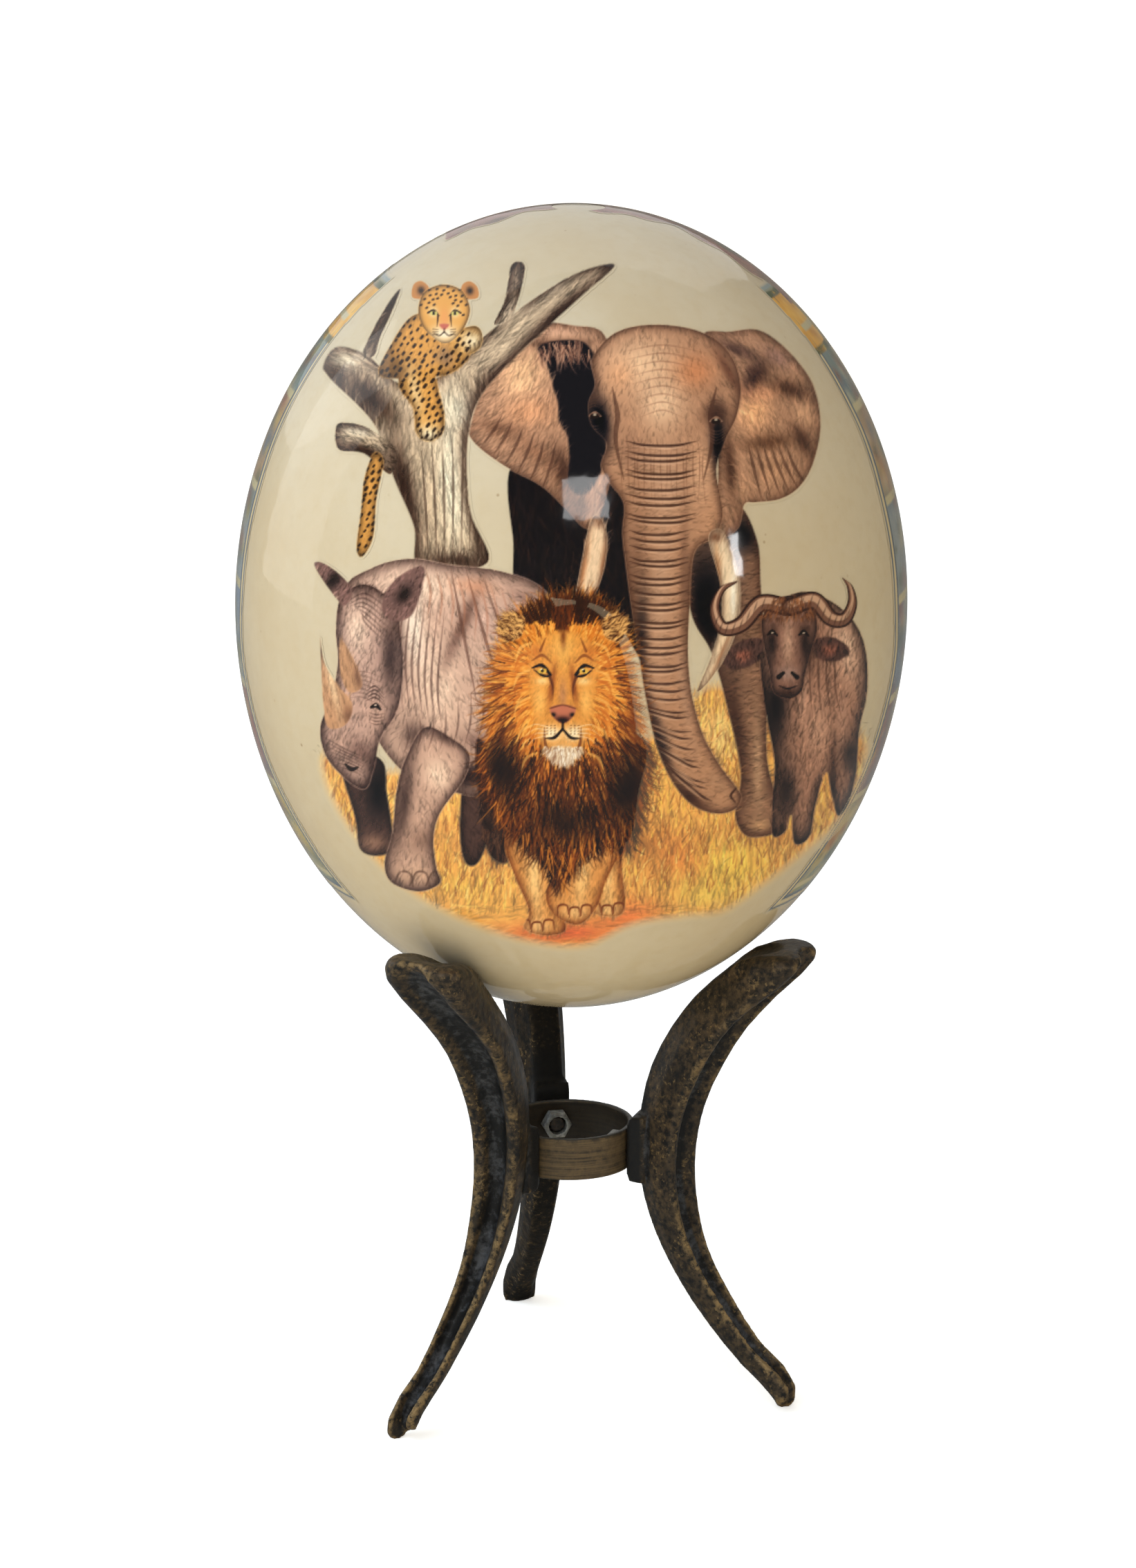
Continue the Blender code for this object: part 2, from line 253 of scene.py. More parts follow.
def lacquer(name, ink=False):
    """Glossy lacquer over the shell, or over the printed paper where there is ink."""
    material = bpy.data.materials.new(name)
    material.use_nodes = True
    tree = material.node_tree
    shader = tree.nodes["Principled BSDF"]
    shell = wire(tree, "ShaderNodeGroup", node_tree=LACQUERED_SHELL)
    for socket, value in (("Cream", SHELL_CREAM), ("Tan", SHELL_TAN), ("Pore", SHELL_PORE)):
        shell.inputs[socket].default_value = value
    colour = shell.outputs["Colour"]
    if ink:
        print_ink = wire(tree, "ShaderNodeAttribute", attribute_name="ink")
        cover = wire(tree, "ShaderNodeAttribute", attribute_name="cover")
        colour = blend(tree, cover.outputs["Fac"], colour, print_ink.outputs["Color"])
    tree.links.new(colour, shader.inputs["Base Color"])
    bump = wire(tree, "ShaderNodeBump", {"Height": shell.outputs["Height"], "Strength": 0.3,
        "Distance": 0.00045})
    tree.links.new(bump.outputs["Normal"], shader.inputs["Normal"])
    shader.inputs["Roughness"].default_value = 0.055
    shader.inputs["IOR"].default_value = 1.52
    return material


def egg_shape():
    """A round ball drawn out to the egg's profile, a little fuller above its middle."""
    tree = bpy.data.node_groups.new("egg profile", "GeometryNodeTree")
    asked = {}
    for title, value in (("Half height", EGG_HALF_HEIGHT), ("Radius", EGG_RADIUS),
            ("Fullness", EGG_FULLNESS), ("Lean", EGG_LEAN), ("Centre height", EGG_CENTRE)):
        socket = tree.interface.new_socket(title, in_out="INPUT", socket_type="NodeSocketFloat")
        asked[socket.identifier] = value
    tree.interface.new_socket("Egg", in_out="OUTPUT", socket_type="NodeSocketGeometry")
    given = tree.nodes.new("NodeGroupInput").outputs
    ball = wire(tree, "GeometryNodeMeshUVSphere", {"Segments": 192, "Rings": 132, "Radius": 1.0})
    place = wire(tree, "GeometryNodeInputPosition")
    part = wire(tree, "ShaderNodeSeparateXYZ", {0: place.outputs[0]}).outputs
    bulge = wire(tree, "ShaderNodeMath", {0: part["Z"], 1: given["Fullness"], 2: 1.0},
        operation="MULTIPLY_ADD").outputs[0]
    girth = wire(tree, "ShaderNodeMath", {0: bulge, 1: given["Radius"]}, operation="MULTIPLY").outputs[0]
    stretch = wire(tree, "ShaderNodeCombineXYZ", {"X": girth, "Y": girth, "Z": given["Half height"]})
    moved = wire(tree, "ShaderNodeVectorMath", {0: place.outputs[0], 1: stretch.outputs[0]},
        operation="MULTIPLY")
    drawn = wire(tree, "GeometryNodeSetPosition",
        {"Geometry": ball.outputs["Mesh"], "Position": moved.outputs[0]})
    turn = wire(tree, "ShaderNodeCombineXYZ", {"Y": given["Lean"]})
    lift = wire(tree, "ShaderNodeCombineXYZ", {"Z": given["Centre height"]})
    set_down = wire(tree, "GeometryNodeTransform", {"Geometry": drawn.outputs["Geometry"],
        "Translation": lift.outputs[0]})
    tree.links.new(turn.outputs[0], set_down.inputs["Rotation"])
    soft = wire(tree, "GeometryNodeSetShadeSmooth", {"Geometry": set_down.outputs[0]})
    real = wire(tree, "GeometryNodeRealizeInstances", {"Geometry": soft.outputs[0]})
    finish = wire(tree, "GeometryNodeSetMaterial",
        {"Geometry": real.outputs[0], "Material": lacquer("egg lacquer")})
    result = tree.nodes.new("NodeGroupOutput")
    tree.links.new(finish.outputs[0], result.inputs["Egg"])
    return tree, asked


def grow(name, tree, asked):
    """A plain mesh object from a geometry tree."""
    seed = new_object(name + " pattern", bpy.data.meshes.new(name + " pattern"))
    modifier = seed.modifiers.new("shape", "NODES")
    modifier.node_group = tree
    for socket, value in asked.items():
        modifier[socket] = value
    view = seed.evaluated_get(bpy.context.evaluated_depsgraph_get())
    mesh = bpy.data.meshes.new_from_object(view)
    seed.modifiers.remove(modifier)
    bpy.data.objects.remove(seed)
    mesh.name = name
    return new_object(name, mesh)


egg = grow("egg_shell", *egg_shape())
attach(egg, "root")
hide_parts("egg")

# Front picture: a coloured drawing of savanna animals printed on thin paper. It is cut out,
# glued flat to the shell and sunk in the lacquer. Each animal is its own cut-out. Places on
# the drawing are in millimetres across and up from the egg's middle, as seen from the front.

PAPER_CREAM = (214, 199, 168)
BARE = 0.02  # cover below which a cell has no paper
OVAL_FALL = 1.6  # how fast a soft oval fades outwards
HAIR_BATCHES = 8


def new_sheet(left, right, low, high, grain):
    """A blank drawing: the place of each cell, its colour, its cover and the cut-out it is on."""
    across = np.arange(left, right, grain)
    down = np.arange(high, low, -grain)
    cell_x, cell_y = np.meshgrid(across, down)
    ink = np.empty(cell_x.shape + (3,))
    ink[:] = PAPER_CREAM
    return {"x": cell_x, "y": cell_y, "ink": ink, "cover": np.zeros(cell_x.shape),
        "piece": np.zeros(cell_x.shape, int), "pen": 0, "left": left, "high": high, "grain": grain}


def smooth_line(points, closed=False, steps=8):
    """Points along a smooth line through the given ones."""
    given = np.array(points, float)
    if closed:
        given = np.vstack([given[-1], given, given[0], given[1]])
    else:
        given = np.vstack([2 * given[0] - given[1], given, 2 * given[-1] - given[-2]])
    t = (np.arange(steps) / steps)[None, :, None]
    a, b, c, d = (part[:, None, :] for part in (given[:-3], given[1:-2], given[2:-1], given[3:]))
    line = b + 0.5 * t * ((c - a) + t * ((2 * a - 5 * b + 4 * c - d) + t * (3 * b - a - 3 * c + d)))
    line = line.reshape(-1, 2)
    return line if closed else np.vstack([line, given[-2]])


def window(sheet, line, margin):
    """The rows and columns of the sheet that lie round a line."""
    lines, columns = sheet["x"].shape
    grain = sheet["grain"]
    left = int(max((line[:, 0].min() - margin - sheet["left"]) / grain, 0))
    right = int(min((line[:, 0].max() + margin - sheet["left"]) / grain + 2, columns))
    top = int(max((sheet["high"] - line[:, 1].max() - margin) / grain, 0))
    bottom = int(min((sheet["high"] - line[:, 1].min() + margin) / grain + 2, lines))
    return slice(top, bottom), slice(left, right)


def distance_along(x, y, line):
    """Each cell's distance from a line, and how far along it the nearest place is, 0 to 1."""
    best = np.full(x.shape, 1e9)
    place = np.zeros(x.shape)
    spans = len(line) - 1
    for k in range(spans):
        ax, ay = line[k]
        bx, by = line[k + 1] - line[k]
        length = max(bx * bx + by * by, 1e-9)
        t = np.clip(((x - ax) * bx + (y - ay) * by) / length, 0, 1)
        far = (x - ax - t * bx) ** 2 + (y - ay - t * by) ** 2
        nearer = far < best
        best[nearer] = far[nearer]
        place[nearer] = (k + t[nearer]) / spans
    return np.sqrt(best), place


def outline(sheet, points, soft=0.5):
    """A mask that is 1 inside a smooth closed outline and fades across its edge."""
    line = smooth_line(points, closed=True)
    area = window(sheet, line, soft + sheet["grain"])
    x, y = sheet["x"][area], sheet["y"][area]
    ends = np.vstack([line, line[:1]])
    far, _ = distance_along(x, y, ends)
    within = np.zeros(x.shape, bool)
    for (ax, ay), (bx, by) in zip(ends, ends[1:]):
        if ay == by:
            continue
        crosses = (ay > y) != (by > y)
        within ^= crosses & (x < (bx - ax) * (y - ay) / (by - ay) + ax)
    mask = np.zeros(sheet["x"].shape)
    mask[area] = np.clip(0.5 + np.where(within, far, -far) / soft, 0, 1)
    return mask


def stain(sheet, amount, colour, area=...):
    """Moves the ink towards a colour, by an amount for each cell."""
    ink = sheet["ink"][area]
    ink += (np.array(colour, float) - ink) * amount[..., None]


def widen(sheet, amount, area=...):
    """Adds what the pen has just covered to the cut-out that it is on."""
    np.maximum(sheet["cover"][area], amount, out=sheet["cover"][area])
    sheet["piece"][area][amount > 0.5] = sheet["pen"]


def lay(sheet, mask, colour, strength=1.0):
    """Lays a flat colour over a mask, on the cut-out that the pen is on."""
    amount = mask * strength
    stain(sheet, amount, colour)
    bare = (sheet["cover"] < BARE) & (amount > 0)
    sheet["piece"][bare] = sheet["pen"]
    widen(sheet, amount)


def fill(sheet, colour, points, soft):
    """Lays a flat colour inside an outline and gives its mask."""
    mask = outline(sheet, points, soft)
    lay(sheet, mask, colour)
    return mask


def shade(sheet, mask, centre, size, turn, colour, strength):
    """A soft oval of colour inside a mask. Turn is in degrees."""
    dx, dy = sheet["x"] - centre[0], sheet["y"] - centre[1]
    c, s = cos(radians(turn)), sin(radians(turn))
    far = ((dx * c + dy * s) / size[0]) ** 2 + ((dy * c - dx * s) / size[1]) ** 2
    stain(sheet, mask * strength * np.exp(-OVAL_FALL * far), colour)


def shades(sheet, mask, *ovals):
    """Soft ovals, each with its centre, size, turn, colour and strength."""
    for oval in ovals:
        shade(sheet, mask, *oval)


def draw(sheet, points, widths, colour, strength=1.0, mask=None, new_cover=False):
    """A line whose width runs smoothly through the given widths."""
    line = smooth_line(points)
    grain = sheet["grain"]
    area = window(sheet, line, max(widths) + grain)
    far, place = distance_along(sheet["x"][area], sheet["y"][area], line)
    half = np.interp(place, np.linspace(0, 1, len(widths)), widths) / 2
    amount = np.clip(0.5 + (half - far) / grain, 0, 1) * np.clip(half / grain + 0.25, 0, 1) * strength
    if mask is not None:
        amount = amount * mask[area]
    stain(sheet, amount, colour, area)
    if new_cover:
        widen(sheet, amount, area)


def hairs(sheet, mask, count, flow, length, tones, strength, seed, spread=0.25, bend=0.3, cover=False):
    """Many fine hairs rooted in a mask. Their direction is flow degrees, or flow(x, y) degrees.

    Each takes the colour at its root times one of the tones, or one of the colours given."""
    rng = np.random.default_rng(seed)
    grain = sheet["grain"]
    rows, columns = np.nonzero(mask > 0.45)
    for batch in range(HAIR_BATCHES):
        pick = rng.integers(0, len(rows), count // HAIR_BATCHES)
        x = sheet["x"][rows[pick], columns[pick]] + rng.uniform(-grain, grain, len(pick))
        y = sheet["y"][rows[pick], columns[pick]] + rng.uniform(-grain, grain, len(pick))
        angle = np.radians(flow(x, y) if callable(flow) else flow) + rng.normal(0, spread, len(pick))
        curl = rng.normal(0, bend, len(pick)) / length
        reach = length * rng.uniform(0.5, 1.2, len(pick))
        tone = np.array(tones, float)[rng.integers(0, len(tones), len(pick))]
        colour = tone if tone.ndim == 2 else sheet["ink"][rows[pick], columns[pick]] * tone[:, None]
        total = np.zeros(sheet["ink"].shape)
        weight = np.zeros(sheet["x"].shape)
        steps = max(int(length / (0.6 * grain)), 2)
        for k in range(steps):
            t = k / (steps - 1)
            along = reach * t
            px = x + along * np.cos(angle + curl * along)
            py = y + along * np.sin(angle + curl * along)
            fx, fy = (px - sheet["left"]) / grain, (sheet["high"] - py) / grain
            ix, iy = np.floor(fx).astype(int), np.floor(fy).astype(int)
            ux, uy = fx - ix, fy - iy
            force = 0.8 * (1 - 0.75 * t)
            for ox, oy, part in ((0, 0, (1 - ux) * (1 - uy)), (1, 0, ux * (1 - uy)),
                    (0, 1, (1 - ux) * uy), (1, 1, ux * uy)):
                cx = np.clip(ix + ox, 0, weight.shape[1] - 1)
                cy = np.clip(iy + oy, 0, weight.shape[0] - 1)
                np.add.at(weight, (cy, cx), part * force)
                np.add.at(total, (cy, cx), colour * (part * force)[:, None])
        amount = np.clip(weight, 0, 1) * strength
        if not cover:
            amount = amount * np.clip(sheet["cover"] * 1.5, 0, 1)
        wanted = total / np.maximum(weight, 1e-6)[..., None]
        stain(sheet, amount, np.clip(wanted, 0, 255))
        if cover:
            widen(sheet, amount)


def rim(sheet, mask, reach, colour, strength):
    """Darkens a mask towards its edges, for roundness."""
    soft = mask
    wide = max(int(reach / sheet["grain"]), 1)
    for turn in range(3):
        for axis in (0, 1):
            margin = [(wide + 1, wide) if k == axis else (0, 0) for k in (0, 1)]
            total = np.cumsum(np.pad(soft, margin), axis)
            span, whole = soft.shape[axis], 2 * wide + 1
            above = np.take(total, range(whole, whole + span), axis)
            below = np.take(total, range(span), axis)
            soft = (above - below) / whole
    stain(sheet, np.clip((mask - soft) * 1.9, 0, 1) * mask * strength, colour)


def paint_tree(sheet):
    """A bare old tree with a sawn stub, a forked crown and a low broken branch."""
    bark, light, dark = (206, 182, 154), (248, 234, 208), (62, 42, 34)
    trunk = outline(sheet, [(-28, 7), (-29.2, 15), (-33, 24), (-36.8, 34), (-44.8, 42.2), (-46, 45),
        (-43.4, 48.2), (-37.6, 46.6), (-32, 41.6), (-25, 42.6), (-18, 49), (-9, 56), (-1, 61.2),
        (5.5, 63.6), (7.6, 63), (1.6, 57.6), (-5.4, 51.2), (-12.4, 44.6), (-17.4, 38.2), (-19.2, 30),
        (-18.6, 18), (-15.4, 8.4)], 0.5)
    upper = outline(sheet, [(-14.6, 52.4), (-12.6, 57), (-11.4, 63.4), (-8.8, 63.2), (-10, 57),
        (-11.4, 53.6)], 0.4)
    twig = outline(sheet, [(-39, 46.4), (-36.6, 52), (-33.6, 57), (-31.8, 58.8), (-33.4, 54.4),
        (-35.4, 50), (-36.6, 46.4)], 0.4)
    stub = outline(sheet, [(-43.6, 33.6), (-43.2, 29.2), (-38.4, 28.4), (-33.6, 24.6), (-32.4, 29),
        (-37, 33), (-41, 34.2)], 0.4)
    for part in (stub, twig, upper, trunk):
        lay(sheet, part, bark)
    whole = np.maximum.reduce([trunk, upper, twig, stub])
    for centre, size, turn in (((-22, 22), (3, 14), 4), ((-17, 52), (2, 9), -52), ((-42, 45), (5, 2), 20),
            ((-21, 36), (4, 4), 0), ((-39, 32.6), (5, 1.2), -8), ((-3, 60), (7, 1.3), 38)):
        shade(sheet, whole, centre, size, turn, light, 0.9)
    for centre, size, turn in (((-31, 22), (2.4, 12), 14), ((-37, 38), (3, 8), 48),
            ((-17, 16), (1.2, 9), 0), ((-13, 43), (1.8, 9), -48), ((-38, 28.8), (5, 1.4), -20),
            ((-3, 54), (1.6, 8), -50), ((-27.6, 41), (2.6, 2), 0), ((-43.6, 43), (2, 3), 40),
            ((-22, 8.6), (7, 1.6), 0)):
        shade(sheet, whole, centre, size, turn, dark, 1.05)
    rim(sheet, whole, 1.1, dark, 1.1)
    hairs(sheet, trunk, 3400,
        lambda x, y: np.where(y > 43, np.where(x < -30, 155, 42), 96 + 0.6 * (x + 24)), 3.0,
        (0.62, 0.8, 1.1, 1.16), 0.5, 11, 0.1)
    hairs(sheet, np.maximum(upper, twig), 260, 70, 2.0, (0.5, 0.7, 1.2), 0.6, 12)
    hairs(sheet, stub, 240, 150, 1.6, (0.5, 0.7, 1.2), 0.6, 13)
    for k in range(7):
        foot = -26.4 + 1.5 * k
        draw(sheet, [(foot, 9), (foot - 0.6 + 0.2 * k, 19 + k), (foot - 1.4 + 0.4 * k, 29 + k)],
            (0.1, 0.5, 0.1), dark, 0.55, trunk)


def paint_leopard(sheet):
    """A leopard lying in the fork, one forepaw hanging down the trunk, its tail below the stub."""
    mid = -23.7
    coat, pale, dark = (214, 158, 86), (238, 220, 186), (46, 32, 24)
    tail = outline(sheet, [(-36.6, 28.6), (-34.8, 27), (-36, 20), (-36.6, 13), (-38.6, 9.4), (-39.8, 11),
        (-39, 18), (-38.4, 24)], 0.4)
    back = outline(sheet, [(-35.6, 43), (-33.4, 49), (-29.6, 54), (-25, 54), (-20, 52), (-18.6, 47.6),
        (-22, 43.6), (-28, 42.4)], 0.4)
    arm = outline(sheet, [(-31.8, 47), (-26.6, 46.6), (-24.6, 40), (-23.6, 35.6), (-24, 32.2),
        (-26.6, 30.8), (-28.8, 32.4), (-29.4, 37), (-32, 41)], 0.4)
    paw = outline(sheet, [(-22.8, 47.4), (-21.4, 51), (-18, 52.2), (-16.6, 50.6), (-17.2, 48),
        (-20, 46.6)], 0.35)
    for part in (tail, back, arm, paw):
        lay(sheet, part, coat)
    body = np.maximum.reduce([tail, back, arm, paw])
    shades(sheet, body, ((-33, 44), (3.4, 4), 0, dark, 0.55), ((-26.4, 32), (3, 2.4), 0, pale, 0.95),
        ((-18.6, 49.4), (3, 2.6), 0, pale, 0.9), ((-23.4, 46.4), (2.2, 2.6), 0, (150, 120, 96), 0.85),
        ((-29, 40), (1.4, 6), 12, pale, 0.5))
    rim(sheet, body, 0.7, dark, 0.7)
    hairs(sheet, body, 900, -110, 1.0, (0.75, 1.15, 0.9), 0.45, 21)
    rng = np.random.default_rng(22)
    rows, columns = np.nonzero(np.maximum.reduce([back, arm, tail]) > 0.8)
    placed = []
    for pick in rng.permutation(len(rows)):
        x, y = sheet["x"][rows[pick], columns[pick]], sheet["y"][rows[pick], columns[pick]]
        if all((x - px) ** 2 + (y - py) ** 2 > 1.15 for px, py in placed):
            placed.append((x, y))
            size = rng.uniform(0.36, 0.6)
            draw(sheet, [(x - 0.3 * size, y - 0.4 * size), (x + 0.3 * size, y + 0.4 * size)],
                (size, size), dark, 0.9, body)
    for toe in range(4):
        draw(sheet, [(-27.9 + toe * 1.05, 31.2), (-27.8 + toe * 1.05, 32.6)], (0.12, 0.3), dark, 0.7)
        draw(sheet, [(-19.6 + toe * 0.8, 47.2 + 0.35 * toe), (-19.7 + toe * 0.8, 48.2 + 0.35 * toe)],
            (0.12, 0.26), dark, 0.7)
    face = [(-28.6, 55.2), (-27.4, 58.4), (-24, 59.8), (-20.6, 58.8), (-18.9, 55.6), (-19.6, 52.4),
        (-21.6, 49.8), (-23.6, 48.8), (-25.6, 49.8), (-27.8, 52)]
    for x in (-28.0, -19.0):
        ear = fill(sheet, (196, 138, 84), [(x - 1.6, 57.2), (x - 1.5, 59.6), (x, 60.4), (x + 1.5, 59.2),
            (x + 1.4, 57.2)], 0.3)
        shade(sheet, ear, (x, 58.6), (0.8, 0.9), 0, dark, 1.0)
    head = fill(sheet, (222, 166, 92), face, 0.35)
    rim(sheet, head, 0.6, dark, 0.8)
    shades(sheet, head, ((mid, 50.8), (2.7, 1.9), 0, (246, 234, 210), 1.0),
        ((-25.7, 54.6), (1.1, 1.2), 20, (240, 222, 184), 0.8),
        ((-21.7, 54.6), (1.1, 1.2), -20, (240, 222, 184), 0.8),
        ((mid, 53.4), (1.2, 2.6), 0, (228, 160, 100), 0.8))
    for k in range(46):
        angle, ring = 2.4 * k, 1.6 + 0.072 * k
        x, y = mid + ring * cos(angle), 56.2 + 0.8 * ring * sin(angle)
        if y > 55.6 or abs(x - mid) > 3.2:
            draw(sheet, [(x - 0.1, y), (x + 0.1, y + 0.1)], (0.38, 0.38), dark, 0.85, head)
    for side in (-1, 1):
        x = mid + side * 1.95
        draw(sheet, [(x + side * 1.1, 54.5), (x, 54.9), (x - side * 0.9, 54.0)], (0.3, 0.5, 0.3), dark,
            1.0)
        draw(sheet, [(x - 0.3, 54.4), (x + 0.3, 54.4)], (0.75, 0.75), (212, 196, 120), 1.0)
        draw(sheet, [(x, 54.3), (x, 54.5)], (0.42, 0.42), (18, 14, 12), 1.0)
        draw(sheet, [(x - side * 0.8, 53.8), (x - side * 0.6, 52)], (0.36, 0.15), dark, 0.8)
        draw(sheet, [(mid, 51), (mid + side * 0.9, 50.3), (mid + side * 1.8, 50.7)], (0.25, 0.2), dark,
            0.9)
        for k in range(3):
            draw(sheet, [(mid + side * 1.2, 51.4 - 0.4 * k), (mid + side * 2.1, 51.5 - 0.5 * k)],
                (0.2, 0.2), dark, 0.6)
    lay(sheet, outline(sheet, [(-24.6, 52.3), (mid, 52.5), (-22.8, 52.3), (mid, 51.4)], 0.3),
        (196, 112, 96))
    draw(sheet, [(mid, 51.5), (mid, 50.9)], (0.22, 0.22), dark, 0.9)


def paint_elephant(sheet):
    """An elephant facing forward with its ears out, its trunk curling at the tip, and two tusks."""
    hide, light, glow = (188, 144, 114), (236, 196, 160), (222, 142, 92)
    dark, black = (74, 48, 38), (20, 17, 24)
    behind = fill(sheet, black, [(-11.2, 26.5), (-10.8, 12), (-10.2, 4), (-4, 2), (6, 0), (12, -8),
        (15, -14), (19, -4), (20, 12), (12, 24), (0, 32)], 0.4)
    hairs(sheet, behind, 900, -88, 4.0, ((66, 42, 34), (44, 34, 38), (20, 17, 22)), 0.5, 31)
    flank = fill(sheet, (150, 114, 92), [(21, 16), (30, 20), (34.4, 13), (35.2, 4), (36, -6), (36.4, -16),
        (36.6, -28), (39, -37), (38.4, -41), (33, -42), (30.6, -38), (31.6, -30), (29, -18), (26, -8),
        (22, 0)], 0.4)
    shades(sheet, flank, ((25, 0), (6, 14), 0, black, 1.3), ((32, 14), (4, 4), 0, black, 1.2),
        ((30.6, -22), (1.8, 12), 6, dark, 0.9), ((34.8, -28), (1.4, 12), 0, (196, 160, 130), 0.8),
        ((35.4, -40), (3, 1.6), 0, (206, 164, 126), 0.8))
    rim(sheet, flank, 1.2, dark, 0.9)
    hairs(sheet, flank, 1300, 8, 1.6, (0.55, 0.8, 1.25), 0.5, 32)
    left_ear = outline(sheet, [(6, 50.6), (0, 52.4), (-6, 52.8), (-10, 50), (-14, 45.4), (-17.4, 40.4),
        (-19.8, 35.4), (-18.4, 30.9), (-12.7, 26.4), (-5.8, 22.8), (-1.6, 19), (2.4, 15), (4.8, 16.2),
        (8, 28), (8, 40)], 0.4)
    right_ear = outline(sheet, [(24, 50.4), (29, 51.4), (34, 51.8), (38, 49.6), (42, 45.6), (44.8, 41),
        (46, 34), (44.6, 27), (42, 22.6), (38.4, 20.4), (34, 19.8), (32, 19.4), (30.8, 15), (27.6, 14.6),
        (27, 28), (28, 40)], 0.4)
    for ear in (left_ear, right_ear):
        lay(sheet, ear, (186, 144, 116))
    shades(sheet, left_ear, ((-9.4, 43), (6, 5), 40, (238, 190, 148), 1.0),
        ((-8, 36), (6, 3.4), 0, (222, 164, 124), 0.9), ((-13.6, 33), (5, 1.8), -14, (122, 86, 66), 0.9),
        ((-6, 28), (8, 2.6), -36, (146, 106, 82), 0.9), ((-1.6, 25), (2.2, 6), 16, (92, 62, 48), 1.1),
        ((-3, 51), (7, 1.1), 0, (224, 178, 148), 0.9), ((-3, 48.9), (7, 0.8), 2, (84, 56, 46), 1.0),
        ((1.6, 19), (2.6, 3), 30, (104, 74, 58), 0.8))
    shades(sheet, right_ear, ((33.6, 36.4), (4, 4.4), 0, (240, 184, 140), 1.1),
        ((34, 40), (5, 2), 0, (226, 164, 126), 0.8), ((34, 43), (4, 2.2), 52, (82, 56, 48), 1.2),
        ((40.6, 40.4), (5, 1.7), -20, (88, 58, 44), 1.1),
        ((36.6, 30.8), (6.4, 1.8), 6, (110, 76, 56), 1.0),
        ((42.6, 31.4), (1.6, 4.4), 26, (84, 56, 44), 1.0),
        ((42.8, 36), (2.4, 2.4), 0, (232, 184, 148), 0.8),
        ((37.4, 25.4), (3, 3.4), 30, (214, 166, 130), 0.8),
        ((30.6, 47.8), (5, 1.3), -24, (92, 66, 58), 1.0),
        ((38, 46.4), (3.6, 1.8), -34, (168, 130, 118), 0.8), ((29.4, 26), (1.4, 8), 6, (84, 56, 44), 1.0),
        ((31.8, 22), (2.4, 3), 0, (196, 152, 120), 0.6))
    for ear in (left_ear, right_ear):
        rim(sheet, ear, 0.9, dark, 0.75)
    gap = fill(sheet, black, [(-6.4, 48), (-4.6, 44.6), (-3.6, 41), (-2.6, 37.8), (-2.4, 34.4),
        (-0.9, 32), (-0.5, 28), (-0.6, 23), (2, 21), (4.8, 24), (6.4, 30), (6, 40), (4.4, 46), (2, 49.2),
        (-3, 49.4)], 0.5)
    hairs(sheet, left_ear * (gap < 0.3), 2300, lambda x, y: 62 + 2.4 * (x + 8) + 0.9 * (y - 35), 2.2,
        (0.66, 0.84, 1.12, 1.2), 0.42, 33)
    hairs(sheet, right_ear, 2300, lambda x, y: 112 - 2.6 * (x - 37) + 0.6 * (y - 35), 2.2,
        (0.66, 0.84, 1.12, 1.2), 0.42, 34)
    hairs(sheet, gap * (sheet["y"] > 46.6), 90, -84, 3.4, ((190, 146, 120), (120, 84, 70)), 0.8, 38)
    for k in range(6):
        draw(sheet, [(43.6 - 1.7 * k, 22.8 - 0.45 * k), (41 - 1.5 * k, 26.8), (39.6 - 1.4 * k, 30.4)],
            (0.15, 0.7, 0.1), dark, 0.55, right_ear)
        draw(sheet, [(-16.6 + 2.2 * k, 30.2 - 1.7 * k), (-14.4 + 2.1 * k, 33 - 1.3 * k),
            (-13 + 2 * k, 35.6 - k)], (0.15, 0.65, 0.1), dark, 0.55, left_ear)
    left_tusk = fill(sheet, (234, 204, 172), [(3.6, 16.4), (5.6, 16.6), (6.6, 13), (6.2, 8), (4.4, 2.6),
        (2, -0.8), (0.8, 1), (1.6, 7)], 0.35)
    shades(sheet, left_tusk, ((2.2, 7), (0.7, 7), -10, (196, 138, 96), 0.9),
        ((5.8, 8), (0.6, 6), -6, (176, 122, 86), 0.8), ((5, 16), (1.6, 1.3), 0, (132, 92, 70), 1.0))
    hairs(sheet, left_tusk, 200, 80, 3.0, (0.85, 1.06), 0.4, 35, 0.05)
    rim(sheet, left_tusk, 0.5, dark, 0.7)
    head = fill(sheet, hide, [(3.6, 46), (6.6, 50.2), (11, 52.2), (17, 52.6), (23, 51.6), (27.4, 49.2),
        (30.2, 45.4), (31.2, 40.6), (30.4, 35.6), (28.2, 31), (26.8, 26), (27.6, 21), (28, 17),
        (26.4, 13.4), (23.4, 11.6), (22.3, 8), (22, 0), (21.8, -8), (22.6, -16), (24.8, -23.4), (28, -29),
        (30.6, -32.4), (31.8, -34.6), (30.6, -37), (27, -37.8), (22.4, -36), (18.4, -31), (15.6, -24),
        (13.6, -15), (12.2, -6), (10.8, 3), (10, 9), (9.4, 14), (9.6, 19.6), (6.8, 23.6), (5.4, 26.6),
        (6.4, 30.6), (3.6, 34), (3, 38), (4.2, 41.4)], 0.4)
